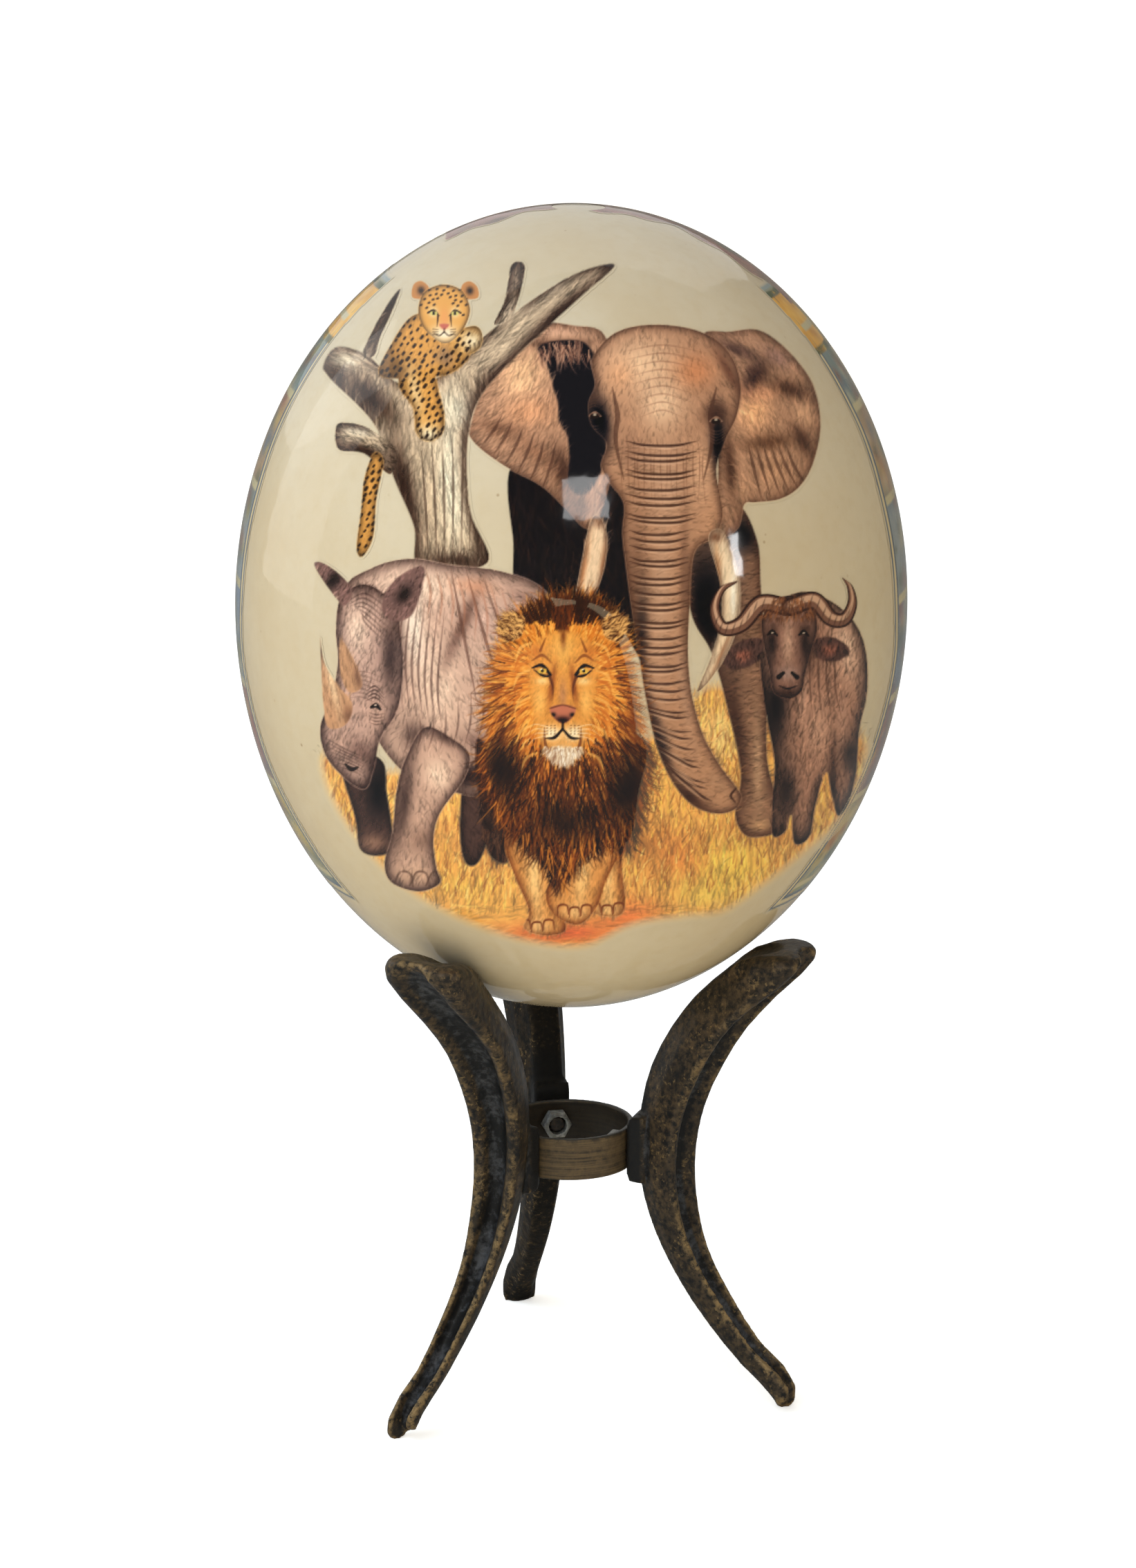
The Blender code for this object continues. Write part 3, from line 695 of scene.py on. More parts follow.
    shades(sheet, head, ((13, 45), (8, 6), 0, light, 1.0), ((16.6, 38), (5, 6), 0, (236, 198, 164), 1.0),
        ((22.6, 44), (4.6, 4), 0, glow, 0.55), ((8.6, 43), (3.4, 4), 0, (226, 172, 132), 0.8),
        ((24, 25), (3, 6), 0, (224, 178, 144), 0.9), ((11, 29), (3, 4), 0, (150, 112, 90), 0.6),
        ((17.4, 24), (5, 9), 0, (198, 158, 130), 0.8), ((26, 16), (2, 4), 0, (206, 158, 124), 0.7),
        ((28.8, 44), (1.2, 6), 30, (120, 80, 62), 0.9), ((12, 8), (2, 14), -2, (120, 86, 68), 0.6),
        ((20.8, 5), (1.2, 16), 0, (120, 86, 70), 0.6), ((16.6, 2), (2.6, 18), -2, (196, 158, 132), 0.75),
        ((12.6, -8), (1.8, 14), -4, black, 0.9), ((16, -24), (2, 9), 18, black, 0.95),
        ((22, -34.6), (5, 1.8), -36, dark, 1.0), ((21, -14), (1.5, 14), 8, (190, 150, 124), 0.8),
        ((27.6, -32), (3, 1.7), -42, (180, 140, 112), 0.9))
    rim(sheet, head, 0.9, dark, 0.85)
    shades(sheet, head, ((5, 34.6), (2.3, 5.4), 8, black, 1.5), ((27, 31.4), (1.7, 6.4), 0, black, 1.3),
        ((26.6, 36), (2.8, 2.6), 0, dark, 0.9))
    hairs(sheet, head, 3000, lambda x, y: np.where(y > 30, 100 + 2 * (x - 17), 4), 1.5,
        (0.66, 0.84, 1.13), 0.42, 36)
    for side in (-1, 1):
        draw(sheet, [(17 + side * 9.6, 41), (17 + side * 8.6, 36), (17 + side * 8.9, 31),
            (17 + side * 7.4, 24)], (0.2, 1.0, 0.8, 0.2), (84, 54, 42), 0.6, head)
    for k in range(9):
        draw(sheet, [(9.6 + 0.4 * k, 47.6 - 1.5 * k), (16.8, 48.8 - 1.5 * k),
            (24.6 - 0.5 * k, 47.4 - 1.5 * k)], (0.1, 0.3, 0.1), (132, 92, 72), 0.4, head)
    for k in range(16):
        x = 9.4 + k
        draw(sheet, [(x, 30 + 0.3 * (k % 3)), (x + 0.25 * (k % 3 - 1), 26),
            (x + 0.4 * (k % 2), 21 - 0.5 * (k % 4))], (0.1, 0.28, 0.1), (120, 84, 66), 0.5, head)
    for k in range(40):
        y = 30.6 - 1.62 * k + 0.4 * sin(3.7 * k)
        middle, half = (16.5, 6.6 - 0.02 * k) if y > 16 else (16.2, 5.6 - 0.012 * k)
        lean = max(0, -y - 12)
        middle += 0.03 * lean + 0.014 * lean ** 2 * (lean > 0) * 0.9
        half -= 0.05 * lean
        tilt = 0.16 * lean
        jog = 0.5 * sin(2.3 * k)
        draw(sheet, [(middle - half, y + 0.5 + tilt), (middle - 0.45 * half + jog, y - 0.3 + 0.4 * tilt),
            (middle + 0.35 * half + jog, y - 0.35 - 0.4 * tilt), (middle + half, y + 0.5 - tilt)],
            (0.15, 0.5, 0.55, 0.15), (74, 48, 38), 0.85, head)
        draw(sheet, [(middle - 0.8 * half, y - 0.5 + tilt * 0.8), (middle + 0.1 * half, y - 0.85),
            (middle + 0.7 * half, y - 0.5 - tilt * 0.7)], (0.1, 0.55, 0.1), (222, 182, 152), 0.55, head)
        draw(sheet, [(middle - 0.5 * half, y - 0.6), (middle - 0.4 * half + 0.4 * jog, y - 1.3)],
            (0.1, 0.2, 0.1), dark, 0.4, head)
    for x, y in ((4.2, 35.6), (26.6, 34.8)):
        for k in range(5):
            draw(sheet, [(x - 1.7, y - 1.2 - 0.5 * k), (x + 0.1, y - 1.9 - 0.55 * k),
                (x + 1.8, y - 1.1 - 0.5 * k)], (0.1, 0.3, 0.1), (150, 112, 90), 0.45, head)
            draw(sheet, [(x - 1.7, y + 1.2 + 0.5 * k), (x, y + 1.9 + 0.5 * k),
                (x + 1.8, y + 1 + 0.5 * k)], (0.1, 0.3, 0.1), (96, 66, 52), 0.6, head)
        draw(sheet, [(x - 1.1, y), (x, y + 0.7), (x + 1.1, y)], (0.3, 0.5, 0.3), (176, 136, 112), 0.8,
            head)
        draw(sheet, [(x - 0.4, y), (x + 0.4, y)], (0.9, 0.9), (40, 24, 18), 1.0, head)
        draw(sheet, [(x - 0.1, y + 0.3), (x + 0.1, y + 0.3)], (0.3, 0.3), (240, 226, 200), 0.9, head)
    right_tusk = fill(sheet, (240, 216, 186), [(25.4, 13.2), (27.6, 14.8), (29.6, 11), (31.2, 5),
        (31, -2), (29, -8), (25.6, -13.4), (23.4, -15), (25.8, -9), (27.8, -2), (27.6, 5)], 0.35)
    shades(sheet, right_tusk, ((27.2, 6), (0.7, 8), 4, (204, 150, 106), 0.9),
        ((28, -8), (0.6, 6), -24, (170, 120, 88), 0.8), ((26.8, 13.4), (1.8, 1.3), 0, (132, 92, 70), 1.0),
        ((30, 2), (0.7, 6), 0, (255, 248, 236), 0.8))
    rim(sheet, right_tusk, 0.5, dark, 0.7)
    hairs(sheet, right_tusk, 240, 84, 3.0, (0.82, 1.05), 0.4, 37, 0.05)
    draw(sheet, [(30.8, -33), (29.8, -34.4), (30.6, -35.6)], (0.3, 0.5, 0.3), dark, 0.9, head)


def paint_rhino(sheet):
    """A rhinoceros walking in from the left with its head low, two horns and a folded hide."""
    hide, pale, dark = (206, 172, 154), (246, 216, 194), (60, 42, 40)
    body = outline(sheet, [(-42, 3), (-37, 7.4), (-30, 9.2), (-22, 8), (-13, 7), (-5, 3.6), (-1.6, -4),
        (-3, -20), (-8, -34), (-16, -35), (-22, -34), (-29, -32), (-36, -24), (-40, -10)], 0.4)
    legs = [outline(sheet, [(-43, -26), (-35, -28), (-34, -34), (-33, -40), (-32.6, -44.6), (-36, -46),
        (-39, -44.6), (-39.8, -39)], 0.4), outline(sheet, [(-19, -28), (-13.4, -28), (-14, -38),
        (-16.6, -46.6), (-19.4, -47), (-20.4, -40)], 0.4)]
    for leg in legs:
        lay(sheet, leg, (88, 64, 58))
        shade(sheet, leg, (-35.4, -34), (3, 6), 0, (24, 18, 20), 1.2)
        rim(sheet, leg, 0.8, (30, 22, 22), 0.9)
        shade(sheet, leg, (-36.6, -43.6), (3, 2), 0, (170, 132, 112), 0.8)
    lay(sheet, body, hide)
    shades(sheet, body, ((-28, 4), (9, 4), -4, pale, 0.9), ((-16, -2), (7, 5), -20, (206, 172, 158), 0.8),
        ((-25, -14), (4.4, 9), 10, pale, 0.75), ((-12, -18), (4, 7), 0, (198, 160, 146), 0.6),
        ((-33.6, -12), (2.8, 13), -10, dark, 0.95), ((-20, -3), (1.5, 11), -24, (112, 80, 70), 0.8),
        ((-21, -31), (10, 3.4), 0, dark, 1.2), ((-6, -26), (4, 12), 0, dark, 1.1),
        ((-29, -4), (2.4, 8), 4, (252, 230, 212), 0.9), ((-18, 4), (5, 2), -10, (214, 158, 128), 0.7),
        ((-8.6, 2), (4, 2), -20, (150, 116, 106), 0.6), ((-15.6, -25), (6, 2.2), -14, (112, 82, 76), 0.7),
        ((-28.6, -24), (3, 4), 30, dark, 0.7))
    rim(sheet, body, 1.4, dark, 0.8)
    foreleg = fill(sheet, (204, 168, 150), [(-27, -22), (-22, -24), (-18.6, -27), (-19.6, -31.6),
        (-24, -38), (-25.2, -43), (-24.6, -48), (-24, -51), (-28, -52.6), (-33, -51), (-34.4, -47.4),
        (-33, -42), (-32.2, -34), (-30.6, -28)], 0.4)
    shades(sheet, foreleg, ((-30.6, -36), (1.7, 10), -8, dark, 0.75),
        ((-24.4, -31), (3, 4), 20, pale, 0.8), ((-22.6, -24), (4, 1.6), -20, (104, 76, 68), 0.7),
        ((-28.6, -49.6), (4.4, 2), 0, (208, 172, 148), 0.7),
        ((-27.4, -43), (3.4, 3), 0, (120, 90, 78), 0.5))
    rim(sheet, foreleg, 1.2, dark, 0.95)
    for toe in range(3):
        draw(sheet, [(-32.6 + 3 * toe, -51.4), (-31.4 + 3 * toe, -49), (-29.6 + 3 * toe, -49.2),
            (-29 + 3 * toe, -51.6)], (0.3, 0.4, 0.3), (96, 70, 60), 0.7, foreleg)
    hairs(sheet, np.maximum.reduce([body, foreleg] + legs), 3600, lambda x, y: 100 + 3 * (x + 24), 1.7,
        (0.62, 0.82, 1.14), 0.46, 41)
    for k in range(9):
        x = -33 + 1.2 * k
        draw(sheet, [(x, 4 - 0.5 * k), (x - 1.2, -6 - k), (x - 0.4, -18 - 0.5 * k)], (0.1, 0.45, 0.1),
            (88, 62, 56), 0.6, body)
    for k in range(3):
        draw(sheet, [(-22.4 + 3 * k, 8 - k), (-20 + 4 * k, -4 - k), (-17.6 + 5 * k, -16)],
            (0.1, 0.7, 0.2), (104, 72, 62), 0.6, body)
    for k in range(11):
        draw(sheet, [(-31 + 2.3 * k, -27.6 + 0.5 * k), (-30 + 2.3 * k, -24 + 0.6 * k),
            (-30.4 + 2.4 * k, -20.6 + k)], (0.1, 0.4, 0.1), (84, 60, 54), 0.5, body)
        draw(sheet, [(-27 + 2 * k, 7.6 - 0.5 * k), (-26 + 2.1 * k, 3 - 0.8 * k),
            (-26.6 + 2.2 * k, -2 - k)], (0.1, 0.55, 0.1), (176, 122, 98), 0.45, body)
    head = fill(sheet, (194, 160, 146), [(-42.6, 2), (-38, 4.4), (-33, 1), (-31.4, -5), (-31, -12),
        (-32, -19), (-35, -24), (-36.4, -30), (-38, -33.6), (-41.6, -31.8), (-45.4, -27.4), (-46.4, -22),
        (-44.4, -17), (-43.2, -10), (-43.6, -4)], 0.4)
    shades(sheet, head, ((-39.6, -4), (3, 6), 0, pale, 0.75),
        ((-41, -15), (2.4, 6), 0, (206, 170, 154), 0.8), ((-33.4, -9), (2, 9), 0, dark, 0.85),
        ((-36, -20), (2.6, 3.6), 20, (204, 166, 148), 0.6),
        ((-38.6, -27), (4, 2.6), -36, (120, 90, 82), 0.8),
        ((-43, -25), (2.2, 3.6), 0, (196, 160, 144), 0.7), ((-38, 2.6), (3.4, 2), 0, (120, 92, 84), 0.6),
        ((-35.8, -29.6), (2, 3), 0, dark, 0.7))
    rim(sheet, head, 1.0, dark, 1.0)
    hairs(sheet, head, 1700, 80, 1.3, (0.58, 0.8, 1.14), 0.5, 42)
    for k in range(7):
        draw(sheet, [(-41.6 + 0.5 * k, 1 - 0.3 * k), (-38, 2.6 - 0.9 * k), (-33.4, -0.6 - 1.1 * k)],
            (0.1, 0.34, 0.1), dark, 0.45, head)
        draw(sheet, [(-45.6 + 0.4 * k, -24 - 0.9 * k), (-42 + 0.3 * k, -26 - 0.7 * k),
            (-38.4, -27.6 - 0.6 * k)], (0.1, 0.32, 0.1), dark, 0.5, head)
        draw(sheet, [(-41.8 + 0.2 * k, -12.4 - 0.7 * k), (-38.4, -11.8 - 0.8 * k),
            (-34.6, -13 - 0.9 * k)], (0.1, 0.28, 0.1), (96, 70, 64), 0.4, head)
    horn = outline(sheet, [(-46.4, -5.6), (-45.6, -10), (-43.4, -14), (-40.4, -17.8), (-41.6, -21.6),
        (-44.8, -22.2), (-45.8, -18), (-46.2, -12)], 0.3)
    small = outline(sheet, [(-42.6, -6), (-40, -10), (-38.6, -14.4), (-41, -15.6), (-42.6, -12)], 0.3)
    for part in (small, horn):
        lay(sheet, part, (196, 152, 118))
    both = np.maximum(small, horn)
    shades(sheet, both, ((-44.2, -14), (0.9, 7), 14, (238, 206, 170), 0.8),
        ((-46, -8), (1, 3), 0, dark, 0.9), ((-41, -20), (1.4, 2), 0, (120, 84, 66), 0.8),
        ((-39.4, -13), (0.8, 2.6), 10, (112, 80, 66), 0.8))
    hairs(sheet, both, 220, 100, 2.2, (0.75, 1.1), 0.5, 43, 0.08)
    draw(sheet, [(-36.9, -18.4), (-36, -18.1), (-35.2, -18.8)], (0.5, 1.0, 0.4), (34, 24, 22), 1.0, head)
    draw(sheet, [(-36.2, -18.0), (-36.0, -18.0)], (0.3, 0.3), (226, 200, 184), 0.9, head)
    for k in range(4):
        draw(sheet, [(-37.8, -17.2 + 0.6 * k), (-36.2, -16.6 + 0.7 * k), (-34.6, -17.8 + 0.6 * k)],
            (0.1, 0.35, 0.1), dark, 0.7, head)
        draw(sheet, [(-37.2, -19.4 - 0.6 * k), (-36, -19.8 - 0.6 * k), (-34.6, -19.6 - 0.6 * k)],
            (0.1, 0.3, 0.1), dark, 0.55, head)
    draw(sheet, [(-41.6, -29), (-40.6, -29.9), (-39.4, -29.6)], (0.4, 0.9, 0.4), (40, 28, 26), 0.95, head)
    for ear in ([(-42, 0.4), (-45, 3.6), (-47.6, 7.8), (-46.2, 8.4), (-43, 6.4), (-40.6, 3.4)], [(-35, 0),
            (-33.6, 4), (-30, 7), (-27.2, 7.4), (-27.8, 3), (-29.6, -1.4), (-33, -2.4)]):
        flap = fill(sheet, (128, 98, 92), ear, 0.35)
        middle = np.mean(ear, axis=0)
        shade(sheet, flap, middle, (1.5, 2.6), -40, (36, 28, 28), 0.95)
        hairs(sheet, flap, 180, 60, 1.0, (0.6, 1.3), 0.5, 44)


def paint_buffalo(sheet):
    """A buffalo standing at the right, its horns meeting in a broad boss over the brow."""
    mid = 40.2
    hide, dark, black = (176, 134, 114), (66, 44, 36), (24, 18, 20)
    body = fill(sheet, hide, [(42, 3.4), (47, 2.4), (52, -1.4), (54.6, -7), (55, -15), (53.6, -22),
        (53, -30), (51.6, -36), (49.6, -38), (48.4, -34), (47.4, -30), (45.6, -36), (44.4, -42),
        (41.6, -43.2), (41, -38), (40, -41), (37.6, -41.8), (37.4, -36), (37.8, -28), (36, -18), (35, -8),
        (37, 0)], 0.4)
    shades(sheet, body, ((51, -7), (3, 8), 12, (228, 192, 170), 0.9),
        ((46, -22), (3, 7), 0, (206, 164, 142), 0.8), ((50.4, -20), (1.4, 8), 0, (196, 154, 134), 0.7),
        ((43, -14), (1.2, 8), 0, (206, 166, 146), 0.7), ((38, -18), (3, 10), 0, black, 1.0),
        ((40, -34), (2.6, 7), 0, black, 0.8), ((44, -6), (2, 7), 0, dark, 0.8),
        ((51.6, -27), (2, 4), 0, black, 0.7), ((48.6, -30), (1.2, 7), 0, dark, 0.7))
    rim(sheet, body, 1.2, black, 0.9)
    hairs(sheet, body, 2000, 82, 1.8, (0.5, 0.78, 1.2), 0.5, 51)
    for k in range(5):
        draw(sheet, [(43.4 + 1.4 * k, -1 - k), (42.6 + 1.6 * k, -10 - k), (43 + 1.8 * k, -20)],
            (0.1, 0.4, 0.1), dark, 0.45, body)
    for ear in ([(35.4, -5.4), (31, -6), (28.4, -9.6), (30.6, -11), (34.6, -9.4)],
            [(45, -5.6), (48.6, -5), (51.6, -7.4), (49, -9.4), (45.6, -8.6)]):
        flap = fill(sheet, (92, 66, 60), ear, 0.35)
        middle = np.mean(ear, axis=0)
        shade(sheet, flap, middle, (1.8, 1.1), 10, (190, 120, 98), 0.85)
        hairs(sheet, flap, 160, -90, 1.2, (0.5, 1.2), 0.5, 52)
    head = fill(sheet, (140, 104, 90), [(35.2, -2), (37, 1.6), (41, 2.8), (44.6, 1), (45.6, -3.4),
        (44.4, -8), (43.4, -12), (42.8, -15), (40.4, -16.4), (37.6, -15.2), (36.8, -11.4), (35.8, -7)],
        0.35)
    shades(sheet, head, ((mid, -6), (1.4, 6), 0, (206, 168, 146), 0.8),
        ((37.2, -6), (1.2, 4), 0, black, 0.8), ((43.4, -6), (1.2, 4), 0, black, 0.8),
        ((mid, -15.4), (2.6, 1.3), 0, dark, 0.9), ((40.1, -11.6), (2.4, 1.6), 0, (170, 140, 130), 0.9))
    rim(sheet, head, 0.7, black, 0.9)
    hairs(sheet, head, 520, -90, 1.0, (0.7, 1.2), 0.42, 53)
    for side in (-1, 1):
        x = mid + side * 2.9
        draw(sheet, [(x - 0.9, -4.6), (x, -4), (x + 0.9, -4.7)], (0.3, 0.8, 0.3), black, 1.0)
        draw(sheet, [(x - 0.1, -4.2), (x + 0.1, -4.2)], (0.3, 0.3), (220, 200, 180), 0.8)
        draw(sheet, [(mid + side * 0.8, -11.6), (mid + side * 1.7, -12.4)], (0.6, 0.9), (24, 18, 18),
            0.95)
    draw(sheet, [(38.6, -14), (mid, -14.5), (41.9, -14)], (0.2, 0.4, 0.2), black, 0.8)
    for side in (-1, 1):
        tip = [(40.4 + side * 0.4, 0.6), (mid + side * 5, 1.2), (mid + side * 8.6, -2.6),
            (mid + side * 12, -3.4), (mid + side * 13.6, 0), (mid + side * 12.4, 3.6),
            (mid + side * 9.6, 5.2)]
        if side > 0:
            tip = [(40.6, 0.6), (45, 1.8), (48, -1.4), (50.6, -1.6), (52, 1.2), (51.6, 4.2), (50.2, 6)]
        draw(sheet, tip, (3.4, 3.4, 3.0, 2.6, 2.0, 1.3, 0.3), (64, 42, 36), 1.0, None, True)
        draw(sheet, tip, (2.4, 2.5, 2.2, 1.8, 1.3, 0.7, 0.1), (132, 96, 80), 1.0)
        draw(sheet, [(x, y + 0.4) for x, y in tip], (1.1, 1.2, 1.0, 0.8, 0.5, 0.3, 0.1), (222, 184, 156),
            0.8)
        for k in range(9):
            x, y = smooth_line(tip)[4 + 3 * k]
            draw(sheet, [(x - 0.5, y - 1.2), (x + 0.3, y + 1.2)], (0.1, 0.28, 0.1), (48, 34, 32), 0.5)
    hairs(sheet, head * (sheet["y"] > -1.5), 260, lambda x, y: -90 + 6 * (x - 40), 1.2,
        ((176, 112, 70), (120, 78, 54), (80, 54, 44)), 0.6, 54)


def paint_lion(sheet):
    """A lion walking forward, with a full golden mane that darkens towards the chest."""
    mid = -1.4
    gold, dark, black = (226, 158, 78), (70, 38, 24), (28, 18, 18)
    flank = fill(sheet, (60, 42, 36), [(-17, -24), (-16.8, -36), (-15.6, -44), (-13.4, -47), (-11, -46),
        (-10, -36)], 0.5)
    hairs(sheet, flank, 260, -88, 2.4, (black, (110, 76, 58)), 0.6, 60)
    legs = (([(-10.4, -38), (-12, -44), (-10, -50), (-7.6, -56), (-8.4, -59.2), (-4.6, -60.6),
        (-0.6, -59.4), (-2, -54), (-1.8, -46), (-2, -38)], (-6, -58.8)), ([(6, -38), (4.6, -46),
        (3.8, -52), (4, -56), (8.6, -57), (10.4, -54.6), (9.8, -46), (12, -38)], (7, -55.6)),
        ([(2.4, -36), (1.6, -43), (-2, -48.6), (-4.4, -52.6), (-3, -56.6), (1.6, -58.6), (5, -55.4),
        (7, -50), (10.8, -42), (11.6, -36)], (1, -56)))
    for number, (leg, paw) in enumerate(legs):
        limb = fill(sheet, (222, 160, 96), leg, 0.35)
        middle = np.mean(leg, axis=0)
        shade(sheet, limb, middle + (-0.6, 1), (1.8, 10), 4 - 8 * (number == 2), (252, 208, 146), 1.0)
        rim(sheet, limb, 0.8, (120, 62, 30), 0.95)
        shades(sheet, limb, (middle + (0, 10), (7, 4), 0, dark, 0.9),
            (paw, (3.4, 1.6), 0, (246, 200, 144), 0.8))
        hairs(sheet, limb, 900, -92, 1.3, (0.66, 0.84, 1.12), 0.45, 61 + number)
        for toe in (-2.2, 0, 2.2):
            x, y = paw[0] + toe, paw[1] - 0.6 + 0.2 * abs(toe)
            draw(sheet, [(x - 1, y - 0.6), (x - 0.8, y + 1.1), (x + 0.7, y + 1.2), (x + 1, y - 0.4)],
                (0.2, 0.4, 0.2), (120, 60, 32), 0.9, limb)
    chest = fill(sheet, (64, 38, 28), [(-14.8, -24), (-14.2, -34), (-10.7, -40), (-6.3, -44), (-1.9, -50),
        (1.6, -46), (6, -43), (11.1, -43), (12.9, -34), (13.6, -24), (-0.2, -18)], 0.6)
    shade(sheet, chest, (-1, -46), (3, 4), 0, black, 1.1)
    mane = fill(sheet, (176, 104, 46), [(-2.2, 0.8), (2.3, 0.9), (5.7, -1), (8.2, -4), (10.4, -10),
        (11.9, -18), (12.4, -26), (9.9, -34), (4, -38), (-2.7, -40), (-8.6, -36), (-12.8, -28),
        (-14.2, -20), (-12.8, -11), (-10, -4), (-6.9, -1)], 0.6)

    def outward(x, y):
        return np.degrees(np.arctan2(y + 15.0, x - mid)) - 16 * np.sign(x - mid) * (y < -8)

    rims = np.maximum(mane, chest)
    hairs(sheet, chest, 3400, lambda x, y: -92 + 2.2 * x, 4.2, (dark, (96, 54, 30), (40, 24, 20), black),
        0.9, 65, 0.16, 0.3, True)
    hairs(sheet, rims * (sheet["y"] > -38), 3400, outward, 4.2,
        (dark, (120, 64, 30), (170, 94, 38), (214, 132, 52)), 0.85, 66, 0.2, 0.35, True)
    hairs(sheet, mane * (sheet["y"] > -33), 3800, outward, 3.6,
        ((236, 166, 76), (214, 130, 50), (184, 100, 38), (246, 190, 104)), 0.8, 67, 0.2, 0.35, True)
    lock = mane * (((sheet["x"] - mid) / 7) ** 2 + ((sheet["y"] + 33) / 10) ** 2 < 1)
    hairs(sheet, lock, 900, lambda x, y: -90 + 2 * (x - mid), 4.6,
        ((226, 142, 56), (196, 108, 42), (240, 172, 88)), 0.75, 68, 0.14, 0.25)
    inner = mane * (((sheet["x"] - mid) / 11) ** 2 + ((sheet["y"] + 15) / 14) ** 2 < 1)
    hairs(sheet, inner, 2200, outward, 3.6, ((244, 186, 96), (232, 156, 66), (206, 120, 46)), 0.8, 69,
        0.2, 0.3)
    outer = rims * (((sheet["x"] - mid) / 9.4) ** 2 + ((sheet["y"] + 14) / 13.5) ** 2 > 1)
    hairs(sheet, outer, 1100, outward, 4.8, ((92, 48, 24), (60, 34, 22), (160, 88, 36), (228, 150, 66)),
        0.8, 75, 0.16, 0.22, True)
    hairs(sheet, mane * (sheet["y"] < -24), 520, lambda x, y: -90 + 3.4 * (x - mid), 5.0,
        ((60, 34, 22), (36, 22, 18), (150, 84, 36)), 0.8, 76, 0.16, 0.22, True)
    hairs(sheet, mane, 300, outward, 3.6, ((128, 66, 28), (100, 54, 26)), 0.6, 77, 0.12, 0.2)
    shades(sheet, rims, ((-12.6, -30), (4.4, 7), 16, black, 0.9), ((11, -33), (5, 9), -14, black, 0.95),
        ((-1, -39), (8, 5), 0, black, 0.7), ((12.4, -19), (2.2, 9), 0, (120, 60, 28), 0.7),
        ((-14, -14), (1.8, 8), 0, (150, 82, 36), 0.5))
    hairs(sheet, rims * (sheet["y"] > -3), 420, outward, 3.4, (dark, (50, 28, 20)), 0.85, 70, 0.12, 0.2,
        True)
    peak = mane * (((sheet["x"] - mid) / 1.8) ** 2 + ((sheet["y"] + 1.4) / 5) ** 2 < 1)
    hairs(sheet, peak, 150, lambda x, y: 90 + 9 * (x - mid), 3.0, (dark, (120, 62, 30)), 0.75, 71, 0.16,
        0.2)
    for side in (-1, 1):
        ear = fill(sheet, (228, 164, 92), [(mid + side * 7.8, -5.2), (mid + side * 10.6, -6),
            (mid + side * 11.6, -3.4), (mid + side * 9.8, -1), (mid + side * 7.2, -2)], 0.5)
        rim(sheet, ear, 0.5, dark, 0.9)
        shade(sheet, ear, (mid + side * 9.6, -3.8), (1.5, 1.2), 0, (110, 60, 36), 0.9)
        hairs(sheet, ear, 260, 90 - side * 60, 1.8, ((240, 190, 120), dark), 0.7, 72)
    face = fill(sheet, gold, [(-7, -7), (-4.4, -4.8), (mid, -4.2), (1.6, -4.8), (4.2, -7), (5, -12),
        (4.4, -17), (3.6, -22), (1.8, -26), (mid, -28.2), (-4.6, -26), (-6.2, -22), (-7.2, -17),
        (-7.8, -12)], 1.0)
    shades(sheet, face, ((mid, -7.4), (2.4, 4), 0, (244, 190, 104), 0.9),
        ((-5.6, -17), (1.5, 3.4), 0, (244, 188, 108), 0.9),
        ((2.8, -17), (1.5, 3.4), 0, (244, 188, 108), 0.9), ((-6.6, -8), (1.6, 2), 0, (204, 124, 54), 0.8),
        ((3.8, -8), (1.6, 2), 0, (204, 124, 54), 0.8), ((-3.3, -23), (2.1, 1.8), 0, (250, 226, 188), 1.1),
        ((0.5, -23), (2.1, 1.8), 0, (250, 226, 188), 1.1),
        ((mid, -26.8), (2.6, 1.6), 0, (248, 238, 222), 1.3),
        ((-3.4, -14), (0.7, 4.6), -8, (150, 80, 36), 0.9),
        ((0.6, -14), (0.7, 4.6), 8, (150, 80, 36), 0.9), ((mid, -16), (1.0, 3.6), 0, (196, 140, 96), 0.9),
        ((-5.2, -13.4), (1.5, 0.8), 0, (250, 218, 160), 0.8),
        ((2.4, -13.4), (1.5, 0.8), 0, (250, 218, 160), 0.8), ((mid, -5), (0.7, 3), 0, (120, 60, 28), 0.8))
    hairs(sheet, face, 1700, lambda x, y: np.where(y > -14, 90 - 6 * (x - mid), -90 + 8 * (x - mid)), 0.8,
        (0.8, 1.1, 0.9), 0.42, 73)
    for side in (-1, 1):
        x = mid + side * 3.85
        draw(sheet, [(x + side * 1.8, -10.9), (x, -10.5), (x - side * 1.5, -12.2)], (0.3, 0.7, 0.6),
            black, 1.0)
        draw(sheet, [(x + side * 1.5, -11.3), (x, -12.3), (x - side * 1.3, -12.5)], (0.2, 0.5, 0.4),
            black, 1.0)
        draw(sheet, [(x - 0.35, -11.5), (x + 0.35, -11.5)], (0.95, 0.95), (222, 180, 84), 1.0)
        draw(sheet, [(x, -11.4), (x, -11.5)], (0.5, 0.5), (16, 12, 12), 1.0)
        draw(sheet, [(x - 0.22, -11.2), (x - 0.12, -11.2)], (0.24, 0.24), (255, 250, 230), 1.0)
        draw(sheet, [(x - side * 1.4, -12.6), (x - side * 2.0, -14.6), (x - side * 1.9, -17)],
            (0.6, 0.4, 0.1), (96, 50, 28), 0.8)
        draw(sheet, [(x + side * 1.9, -9.6), (x, -8.6), (x - side * 1.7, -10)], (0.2, 0.6, 0.2),
            (130, 70, 32), 0.7)
        draw(sheet, [(x + side * 0.4, -7.8), (x - side * 0.6, -5.4)], (0.5, 0.2), (120, 62, 30), 0.7)
